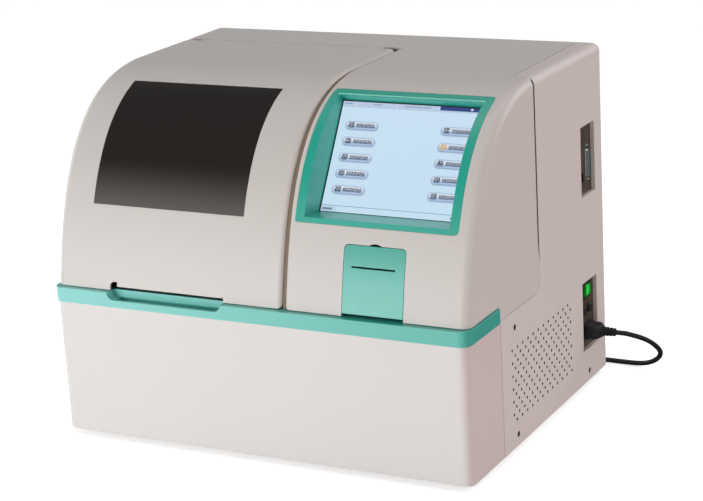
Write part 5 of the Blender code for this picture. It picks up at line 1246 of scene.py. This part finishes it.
def makePowerPanel():
    size, face = powerSize, socketSize["face"]
    refined("power_plate", "zincPlate", 0.3)
    refined("switch_frame", "blackPlastic", 0.35, 3)
    refined("mains_inlet", "blackPlastic", 0.35, 3)
    refined("power_rocker", "litGreen", 0.5, 4, 25)
    radius, z, back, flute = size["fuseRadius"], size["fuseZ"], face - size["deep"], size["flute"]
    inner, end = radius - size["rim"], face + size["fuseCap"]
    for name, y in size["fuses"].items():
        cap = turned("fuseHolder" + name, [(0, back), (inner, back), (inner, face + 0.3), (radius, face + 0.3),
                                           (radius, end - 1.2), (radius - 0.3, end - 0.9),
                                           (radius - 0.9, end - 0.8), (radius - 1.1, end - 0.3),
                                           (radius - 1.5, end), (0, end)], "x", (y, z))
        wide, tall = size["fuseSlot"]
        cutOut(cap, block("fuseSlot", (end - 1.0, end + 1), around(y, wide), around(z, tall)))
        for centre in ringOf((y, z), radius + size["fluteOut"], 0, size["flutes"]):
            cutOut(cap, turned("fuseFlute",
                               [(0, face + 0.9), (flute, face + 0.9), (flute, end + 1.9), (0, end + 2)], "x",
                               centre, 10))
        finishPiece(cap, "blackPlastic", "fuse_holder_" + name.lower(), edge=(0.12, 1, 50))


makeDataPanel()
makePowerPanel()
print("side sockets made")


# Fan behind the back grille

fanSize = {
    "middle": (470.0, 330.0), "rear": 457.7, "deep": 25.0, "size": 80.0, "corner": 4.0, "bore": 38.0,
    "strut": 4.0, "window": 72, "hole": 2.1, "axle": 3.0, "hub": 18.0, "blades": 7, "start": 437.3, "end": 455.7,
    "tip": 36.0, "sweep": 0.16, "bladeHalf": 6.0, "bladeLean": 5.6, "bladeBow": 1.6, "bladeThick": 0.7,
}


def makeFan():
    size = fanSize
    middle, rear, wide, bore, hub, start, end = pick(size, "middle rear size bore hub start end")
    front = rear - size["deep"]
    strut = front + size["strut"]
    outline = boxed(around(middle[0], wide), around(middle[1], wide), size["corner"], 8)
    frame = slab("fanFrame", outline, "y", front, rear)
    cutOut(frame, turned("fanBore", [(0, strut), (bore, strut), (bore, rear - 3), (bore + 1.2, rear + 1),
                                     (0, rear + 1)], "y", middle, 64))
    sweep = size["window"]
    for quarter in range(4):
        turn = 90 * quarter + 45 - sweep / 2
        window = arc(middle, hub, turn, sweep, 12) + arc(middle, bore - 1, turn + sweep, -sweep, 12)
        cutOut(frame, slab("fanWindow", window, "y", front - 2, strut + 2))
    cutOut(frame, tubeRow("fanHoles", "y", fanBolts(middle), size["hole"], front - 2, rear + 2, 20))
    joinOn(frame, pin("fanAxle", size["axle"], front + 2, front + 12.5, "y", middle, 24))
    finishPiece(frame, "blackPlastic", "fan_frame", edge=(0.4, 2, 50))
    bearing = size["axle"] + 0.3
    rotor = turned("fanRotor", [(0, front + 13.1), (bearing, front + 13.1), (bearing, start), (hub, start),
                                (hub, end - 1.5), (hub - 1.5, end), (0, end)], "y", middle, 64)
    half, lean, bow, thick = pick(size, "bladeHalf bladeLean bladeBow bladeThick")
    shares = [part / 8 for part in range(9)]
    for blade in range(size["blades"]):
        sections = []
        for step in range(7):
            reach = hub - 1.5 + (size["tip"] - hub + 1.5) * step / 6
            angle = 2 * math.pi * blade / size["blades"] + size["sweep"] * step / 6
            section = []
            outward = [(thick, share) for share in shares]
            for side, share in outward + [(-thick, share) for share in reversed(shares)]:
                along = (share - 0.5) * 2
                level = (start + end) / 2 - lean * along + bow * (1 - along * along)
                turn = angle + (half * along + side) / reach
                section.append(at(middle[0] + reach * math.cos(turn), level, middle[1] + reach * math.sin(turn)))
            sections.append(section)
        joinOn(rotor, loft("fanBlade", sections))
    finishPiece(rotor, "blackPlastic", "fan_rotor")


# Working deck under the lid

deckSize = {
    "top": 192.0, "rest": 0.3, "tubWall": 3.0, "shaft": 4.0, "coverThick": 3.0, "lip": 3.5, "channel": 215.0,
    "room": 7.0, "needleHole": 5, "knob": (13, 12),
    "carousel": {"node": "reagent_carousel", "middle": (118.0, 215.0), "radius": 98.0, "height": 60.0,
                 "ring": 84.0, "cups": 30, "cupRadius": 6.2, "knob": 1.0, "hole": (157.32, 289.23), "sides": 96},
    "rotor": {"node": "reaction_rotor", "middle": (276.0, 118.0), "radius": 56.0, "height": 46.0, "ring": 44.0,
              "cups": 36, "cupRadius": 2.9, "knob": 0.7, "hole": (306.56, 149.66), "sides": 80},
}


def makeTub(label, wheel):
    radius, height, middle, sides = pick(wheel, "radius height middle sides")
    floor, bore, wall = deckSize["top"] + deckSize["rest"], deckSize["shaft"] + 0.6, deckSize["tubWall"]
    inner, rim, web = radius - wall, floor + height, floor + wall
    tub = turned(label + "Tub", [(bore, floor), (radius - 0.6, floor), (radius, floor + 0.6), (radius, rim - 0.6),
                                 (radius - 0.6, rim), (inner + 0.6, rim), (inner, rim - 0.6), (inner, web + 2),
                                 (inner - 0.6, web + 0.6), (inner - 2, web), (bore, web), (bore, floor)], "z",
                 middle, sides)
    finishPiece(tub, "whiteInside", label + "_tub")


def makeTubCover(label, wheel):
    radius, height, middle, sides = pick(wheel, "radius height middle sides")
    deck, wall, thick, lip, hole = pick(deckSize, "top tubWall coverThick lip needleHole")
    rest = deck + 0.6 + height
    inner, top = radius - wall - 0.6, rest + thick
    knob, tall = (measure * wheel["knob"] for measure in deckSize["knob"])
    cover = turned(label + "Cover", [
        (0, rest), (inner - lip, rest), (inner - lip, rest - lip), (inner - 0.3, rest - lip),
        (inner, rest - lip + 0.3), (inner, rest), (radius - 0.4, rest), (radius, rest + 0.4), (radius, top - 0.8),
        (radius - 0.25, top - 0.25), (radius - 0.8, top), (knob * 0.75 + 1, top), (knob * 0.75, top + 1),
        (knob * 0.75, top + tall / 2), (knob * 0.8, top + tall * 0.6), (knob, top + tall * 0.7),
        (knob, top + tall - 1.2), (knob - 0.35, top + tall - 0.35), (knob - 1.2, top + tall), (0, top + tall)],
        "z", middle, sides)
    cutOut(cover, turned("needleHole", [(0, rest - 7), (hole, rest - 7), (hole, top - 0.5),
                                        (hole + 0.8, top + 0.3), (hole + 0.8, top + 2),
                                        (0, top + 2)], "z", wheel["hole"], 40))
    finishPiece(cover, "clearSmoke", label + "_cover")


def makeWheel(label, wheel):
    # the wheel has a ring channel, with a rack and its cups in it, one cup under the needle's hole
    node, middle, ring, sides, count, radius = pick(wheel, "node middle ring sides cups cupRadius")
    deck, rest, wall, shaft, lip, room, channel = pick(deckSize, "top rest tubWall shaft lip room channel")
    floor, thin, outside, inside = deck + rest + wall, wall / 2, ring + room, ring - room
    top, low, body = floor + wheel["height"] - wall - 2 * lip, deck - 16, bodyOf[node]
    outer, web, plate = outside + thin, floor + 2.0, floor + 2.0 + wall
    made = turned(label + "Wheel", [
        (0, low), (shaft, low), (shaft, web), (outer - 0.5, web), (outer, web + 0.5), (outer, top - 0.4),
        (outer - 0.4, top), (outside, top), (outside, channel), (inside, channel), (inside, top),
        (inside - thin + 0.4, top), (inside - thin, top - 0.4), (inside - thin, plate + 2),
        (inside - thin - 2, plate), (14, plate), (12, plate + 2), (8, top - 0.6), (7.4, top),
        (0, top)], "z", middle, sides)
    finishPiece(made, "whiteInside", node)
    rack = turned(label + "WheelRack", [(inside + 0.3, top - 4), (outside - 0.3, top - 4),
                                        (outside - 0.3, top - 2), (inside + 0.3, top - 2),
                                        (inside + 0.3, top - 4)], "z", middle, sides)
    start = math.atan2(wheel["hole"][1] - middle[1], wheel["hole"][0] - middle[0])
    places = ringOf(middle, ring, math.degrees(start), count)
    name, foot, rim = label + "Cups", channel + 0.3, top - 2 + 0.3
    cutOut(rack, tubeRow(name + "Holes", "z", places, radius + 0.3, top - 6, top + 1, 20))
    finishPiece(rack, "whiteInside", body=body)
    cup = turned(name, [(0, foot), (radius - 0.6, foot), (radius, foot + 1), (radius, rim), (radius + 0.8, rim),
                        (radius + 0.8, rim + 1), (radius - 0.8, rim + 1), (radius - 0.8, foot + 2),
                        (0, foot + 2)],
                 "z", places[0], 20)
    finishPiece(copied(cup, [at(*place, 0) - at(*places[0], 0) for place in places[1:]]), "clearCup", body=body)


def copied(piece, moves):
    # copies of a piece, each moved, joined on to it
    copies = []
    for move in moves:
        workOn(piece)
        bpy.ops.object.duplicate()
        bpy.ops.transform.translate(value=move)
        bpy.ops.object.transform_apply(location=True, rotation=False, scale=False)
        copies.append(bpy.context.object)
    workOn(piece)
    for copy in copies:
        copy.select_set(True)
    bpy.ops.object.join()
    return piece


def makeDeck():
    refined("work_deck", "whiteInside", 0.6, 3)
    refined("bay_back_wall", "whiteInside", 0.3)
    for label in ("carousel", "rotor"):
        for make in (makeTub, makeTubCover, makeWheel):
            make(label, deckSize[label])
        refined(label + "_motor", "blackPlastic", 0.8, 2, 60)


probeSize = {
    "column": (268.0, 258.0), "radius": 8.0, "low": 130.0, "arm": 298.0, "length": 115.0, "hub": 17.0, "tip": 9.0,
    "turn": 242.0, "guide": 34.0, "guideTop": 247.3, "guideCorner": 4.25, "spigot": 5.0, "needle": 0.8,
    "needleTip": 263.5, "well": 9.0, "wellBore": 6.0, "wellTop": 256.0, "wellFoot": 12.6, "wellStep": 218,
    "armCrown": ((0, 1.2), (0.4, 0.4), (1.2, 0), (10, 0), (13, 0.7), (15, 2.4), (15.8, 4.5), (16, 6.5)),
}


def makeProbe():
    size, floor, channel = probeSize, deckSize["top"] + deckSize["rest"], deckSize["channel"]
    centre, radius, low, arm, turn, guideTop, spigot = pick(size, "column radius low arm turn guideTop spigot")
    outline = boxed(*(around(middle, size["guide"]) for middle in centre), size["guideCorner"], 6)
    guide = slab("columnGuide", outline, "z", floor, guideTop)
    bore = radius + 0.3
    cutOut(guide, turned("guideBore", [(0, floor - 1), (bore, floor - 1), (bore, guideTop - 1),
                                       (bore + 1.2, guideTop + 0.4), (0, guideTop + 0.4)], "z", centre))
    finishPiece(guide, "whiteInside", "column_guide", edge=(0.8, 3, 50))
    top = arm - 0.3
    column = turned("probeColumn", [(0, low), (radius - 0.5, low), (radius, low + 0.5), (radius, top),
                                    (spigot, top), (spigot, arm + 8), (0, arm + 8)], "z", centre)
    finishPiece(column, "brightSteel", "probe_column")
    end = arc(centre, size["length"], turn, 0, 1)[0]
    rings = [(level, arc(centre, size["hub"] - inset, turn + 90, 180, 16)
              + arc(end, size["tip"] - inset, turn - 90, 180, 16)) for level, inset in size["armCrown"]]
    made = loft("probeArm", [[onSide("z", arm + level, *place) for place in ring] for level, ring in rings])
    cutOut(made, pin("armBore", spigot + 0.3, arm - 1, arm + 8.3, "z", centre, 32))
    finishPiece(made, "whiteInside", "probe_arm", 40)
    thin, tip = pick(size, "needle needleTip")
    needle = turned("probeNeedle", [(0, tip), (thin * 0.4, tip + 0.3), (thin, tip + 2.2), (thin, top - 4),
                                    (2.2, top - 4), (4, top - 2.6), (4, top), (0, top)], "z", end, 28)
    finishPiece(needle, "brightSteel", "probe_needle")
    outer, inner, rim, foot, step = pick(size, "well wellBore wellTop wellFoot wellStep")
    well = turned("washWell", [(0, floor), (foot, floor), (foot, floor + 1.6), (foot - 0.4, floor + 2),
                               (outer + 1.2, floor + 2), (outer, floor + 3.2), (outer, rim - 0.5),
                               (outer - 0.5, rim), (inner + 0.8, rim), (inner, rim - 0.8), (inner, step),
                               (inner - 2, channel), (0, channel)], "z", end)
    finishPiece(well, "brightSteel", "wash_well")


# What is under the deck keeps the solid model's shapes: each with its paint, then how its edges are rounded
worksList = {
    "power_supply": ("zincPlate", 0.5), "photometer": ("blackPlastic", 0.8),
    "syringe_barrel": ("smokePlastic", 0), "syringe_plunger": ("brightSteel", 0), "base_tray": ("zincPlate", 0.4),
    "printer_housing": ("blackPlastic", 0.3), "print_head": ("blackPlastic", 0.5),
    "hinge_bracket_left": ("zincPlate", 0.3, 2, 50), "hinge_bracket_right": ("zincPlate", 0.3, 2, 50),
}
worksSize = {
    "pins": {"Left": (21.6, 49.4), "Right": (307.1, 334.9)},
    "feetX": {"Left": 48.0, "Right": 552.0}, "feetY": {"Front": 48.0, "Rear": 412.0},
}


def makeWorks():
    for name, settings in worksList.items():
        refined(name, *settings)
    for side, (low, high) in worksSize["pins"].items():
        made = turned("hingePin" + side, [(0, low), (1.6, low), (2.0, low + 0.4), (2.0, high - 0.4), (1.6, high),
                                          (0, high)], "x", lidSize["hinge"], 32)
        finishPiece(made, "brightSteel", "hinge_pin_" + side.lower())
    for side, x in worksSize["feetX"].items():
        for end, y in worksSize["feetY"].items():
            foot = turned("foot" + end + side, [(0, -8), (9.4, -8), (10.2, -7.6), (10.6, -6.8), (11.8, -1.2),
                                                (12, -0.3), (0, -0.3)], "z", (x, y))
            cutOut(foot, turned("footRoom", [(0, -8.5), (4, -8.5), (3.6, -5), (0, -5)], "z", (x, y), 32))
            finishPiece(foot, "softBlack", f"foot_{end}_{side}".lower())


# Plugs on the mains lead

plugSize = {
    "inlet": (404.5, 70.5), "wide": 27.0, "tall": 20.0,
    "nose": (578.6, 600.0), "noseWide": 23.5, "noseTall": 16.0,
    "hump": (9, 11.9), "back": 618.0, "end": 638.0, "ribs": 4, "reliefRoot": 6.8, "reliefEnd": 5.8,
    "farTip": 392.7, "farCentre": (490.34, 10.6), "farRadius": 18.2, "farLength": 45.0, "pinRadius": 2.4,
    "pinHalf": 9.5, "pinLength": 19.0,
    # place along the plug, share of its width and height, corner radius
    "body": ((596.1, 0.97, 0.96, 3.0), (596.7, 1.0, 1.0, 3.4), (603.0, 1.0, 1.0, 3.6), (604.0, 0.95, 0.93, 3.6),
             (606.5, 0.95, 0.93, 3.8), (607.5, 0.99, 0.99, 4.0), (611.5, 0.96, 0.97, 5.0),
             (614.5, 0.86, 0.92, 6.0), (616.8, 0.7, 0.84, 6.6), (618.0, 0.6, 0.76, 6.8)),
    # place along one rib of the relief, share of its radius, and what it is less
    "rib": ((0.06, 1, 0.35), (0.18, 1, 0), (0.56, 1, 0), (0.66, 1, 0.35), (0.7, 0.6, 0), (0.98, 0.6, 0)),
    # radius and place behind the tip of the far plug's sleeve, then what its rings are less than the body
    "sleeve": ((0, 0), (4.4, 0), (4.9, 3), (4.9, 4), (4.5, 4.3), (4.5, 5.3), (5.0, 5.6), (5.2, 8.6), (4.7, 9),
               (4.7, 10), (5.3, 10.4), (5.6, 15), (7.5, 18), (11.5, 20.5), (15.0, 23.5), (17.2, 26.5)),
    "rings": ((0, 30), (0, 32.4), (0.9, 33), (0.9, 34.2), (0, 34.8), (0, 37.2), (0.9, 37.8), (0.9, 39),
              (0, 39.6)),
}


def makePlugs():
    size = plugSize
    (y, z), wide, tall, back, end, ribs, root = pick(size, "inlet wide tall back end ribs reliefRoot")

    def ring(x, wide, tall, radius):
        return [onSide("x", x, *place) for place in boxed(around(y, wide), around(z, tall), radius, 6)]

    body = loft("inletPlug", [ring(x, wide * a, tall * b, radius) for x, a, b, radius in size["body"]])
    (tip, deep), noseWide, noseTall, (hump, humpTop) = pick(size, "nose noseWide noseTall hump")
    joinOn(body, loft("plugNose", [ring(x, noseWide - trim, noseTall - trim, 2.0)
                                   for x, trim in ((tip, 0.8), (tip + 0.6, 0), (deep, 0))]),
           block("plugHump", (609.2, 616.0), around(y, hump), (z, z + humpTop), 1.4, 3))
    profile, step = [(0, back - 2), (7.6, back - 2)], (end - back) / ribs
    for rib in range(ribs):
        radius = root + (size["reliefEnd"] - root) * rib / (ribs - 1)
        profile += [(radius * share - less, back + step * (rib + along)) for along, share, less in size["rib"]]
    joinOn(body, turned("plugRelief", profile + [(0, end)], "x", (y, z), 40))
    finishPiece(body, "softBlack", "inlet_plug", 40)
    tip, centre, radius, long, thick = pick(size, "farTip farCentre farRadius pinLength pinRadius")
    end = tip - size["farLength"]
    profile = [(width, tip - behind) for width, behind in size["sleeve"]]
    profile += [(radius - less, tip - behind) for less, behind in size["rings"]]
    far = turned("wallPlug", profile + [(radius, end + 0.8), (radius - 0.8, end), (0, end)], "x", centre, 64)
    for side in (-1, 1):
        joinOn(far, turned("plugPin", [(0, end - long), (1.2, end - long), (2.1, end - long + 0.8),
                                       (thick, end - 17.2), (thick, end + 1), (0, end + 1)], "x",
                           (centre[0] + side * size["pinHalf"], centre[1]), 28))
    finishPiece(far, "softBlack", "wall_plug", 30)


makeFan()
makeDeck()
makeProbe()
makeWorks()
makePlugs()
print("fan, deck, probe, works and plugs made")


# Every other solid piece with its slot's paint

slotOf = {part["node"]: part["material_slot"] for part in frame["record"]["subparts"]}
for nodeName, solid in nodes.items():
    solid.data.materials.clear()
    solid.data.materials.append(paints[slotPaint[slotOf[nodeName]]])
print("solid pieces painted")


# Mains lead: the same route as the solid lead

leadSize = {
    "radius": 3.5, "lift": 0.1, "exit": (638.3, 404.5, 70.5),
    "drop": ((655.0, 405.2, 69.8), (675.0, 413.9, 62.0), (684.5, 427.8, 49.6), (685.9, 445.9, 33.4),
             (675.8, 463.9, 17.1), (658.4, 479.9, 3.5), (640.0, 488.0, -3.0), (618.0, 490.0, -4.4),
             (594.6, 490.3, -4.4), (560.0, 490.3, -4.4), (525.0, 490.3, -4.4)),
    "coilMiddle": (500.0, 541.0), "coilRadius": 42.0, "pitch": 7.7, "turns": 2.25, "perTurn": 24, "climbIn": 0.5,
    "farRun": 100.0, "farPlugRadius": 18.5, "spacing": 6.0, "ground": -8,
}


def coilRoute():
    # a flat spiral inwards, a climb, and a spiral outwards on top of it
    size = leadSize
    radius, pitch, turns, perTurn, (x, y) = pick(size, "coilRadius pitch turns perTurn coilMiddle")
    outer, low = radius + pitch * turns / 2, size["ground"] + size["radius"] + size["lift"]
    inner = outer - pitch * turns
    spiral, climb = round(turns * perTurn), perTurn // 2
    route = []
    for step in range(2 * spiral + climb + 1):
        if step <= spiral:
            radius, rise = outer - (outer - inner) * step / spiral, 0
        elif step < spiral + climb:
            share = (step - spiral) / climb
            radius = inner - pitch / 2 * math.sin(math.pi * share) * size["climbIn"]
            rise = pitch * share * share * (3 - 2 * share)
        else:
            radius, rise = inner + (outer - inner) * (step - spiral - climb) / spiral, pitch
        turn = -math.pi / 2 - 2 * math.pi * step / perTurn
        route.append(Vector((x + radius * math.cos(turn), y + radius * math.sin(turn), low + rise)))
    return route


def smoothRoute(points, spacing):
    fine = []
    padded = [points[0] * 2 - points[1]] + points + [points[-1] * 2 - points[-2]]
    for a, b, c, d in zip(padded, padded[1:], padded[2:], padded[3:]):
        for step in range(12):
            t = step / 12
            fine.append(0.5 * ((2 * b) + (c - a) * t + (2 * a - 5 * b + 4 * c - d) * t ** 2
                               + (3 * b - a - 3 * c + d) * t ** 3))
    fine.append(points[-1])
    route, walked = [fine[0]], 0.0
    for before, after in zip(fine, fine[1:]):
        walked += (after - before).length
        if walked >= spacing:
            route.append(after)
            walked = 0.0
    if (route[-1] - fine[-1]).length < spacing / 2:
        route.pop()
    return route + [fine[-1]]


def makeLead():
    size, coil = leadSize, coilRoute()
    radius, exitPoint = size["radius"], Vector(size["exit"])
    straight = Vector((2 * radius, 0, 0))
    free = smoothRoute([exitPoint, exitPoint + straight, *(Vector(point) for point in size["drop"]),
                        coil[0] + straight], size["spacing"])
    rise = size["ground"] + size["farPlugRadius"] + size["lift"] - coil[-1].z
    tail = [coil[-1] + Vector((-size["farRun"] * share, 0, rise * share * share * (3 - 2 * share)))
            for share in (step / 8 for step in range(1, 9))]
    route = free[:-1] + [coil[0] + straight] + coil + tail + [tail[-1] - straight]
    length = sum((after - before).length for before, after in zip(route, route[1:])) / 1000
    bpy.ops.object.select_all(action="DESELECT")
    bpy.ops.curve.primitive_nurbs_path_add()
    lead = bpy.context.object
    lead.name = "mainsLead"
    lead.location = (0, 0, 0)
    lead.data.splines.clear()
    spline = lead.data.splines.new("POLY")
    spline.points.add(len(route) - 1)
    for point, place in zip(spline.points, route):
        point.co = (*at(*place), 1)
    spline.use_smooth = True
    lead.data.bevel_depth = radius / 1000
    lead.data.bevel_resolution = 4
    lead.data.use_fill_caps = True
    lead.data.materials.append(paints["leadSheath"])
    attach(lead, "case")
    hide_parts("mains_lead", "lead_coil")
    print("mains lead laid, length", round(length, 3))


makeLead()
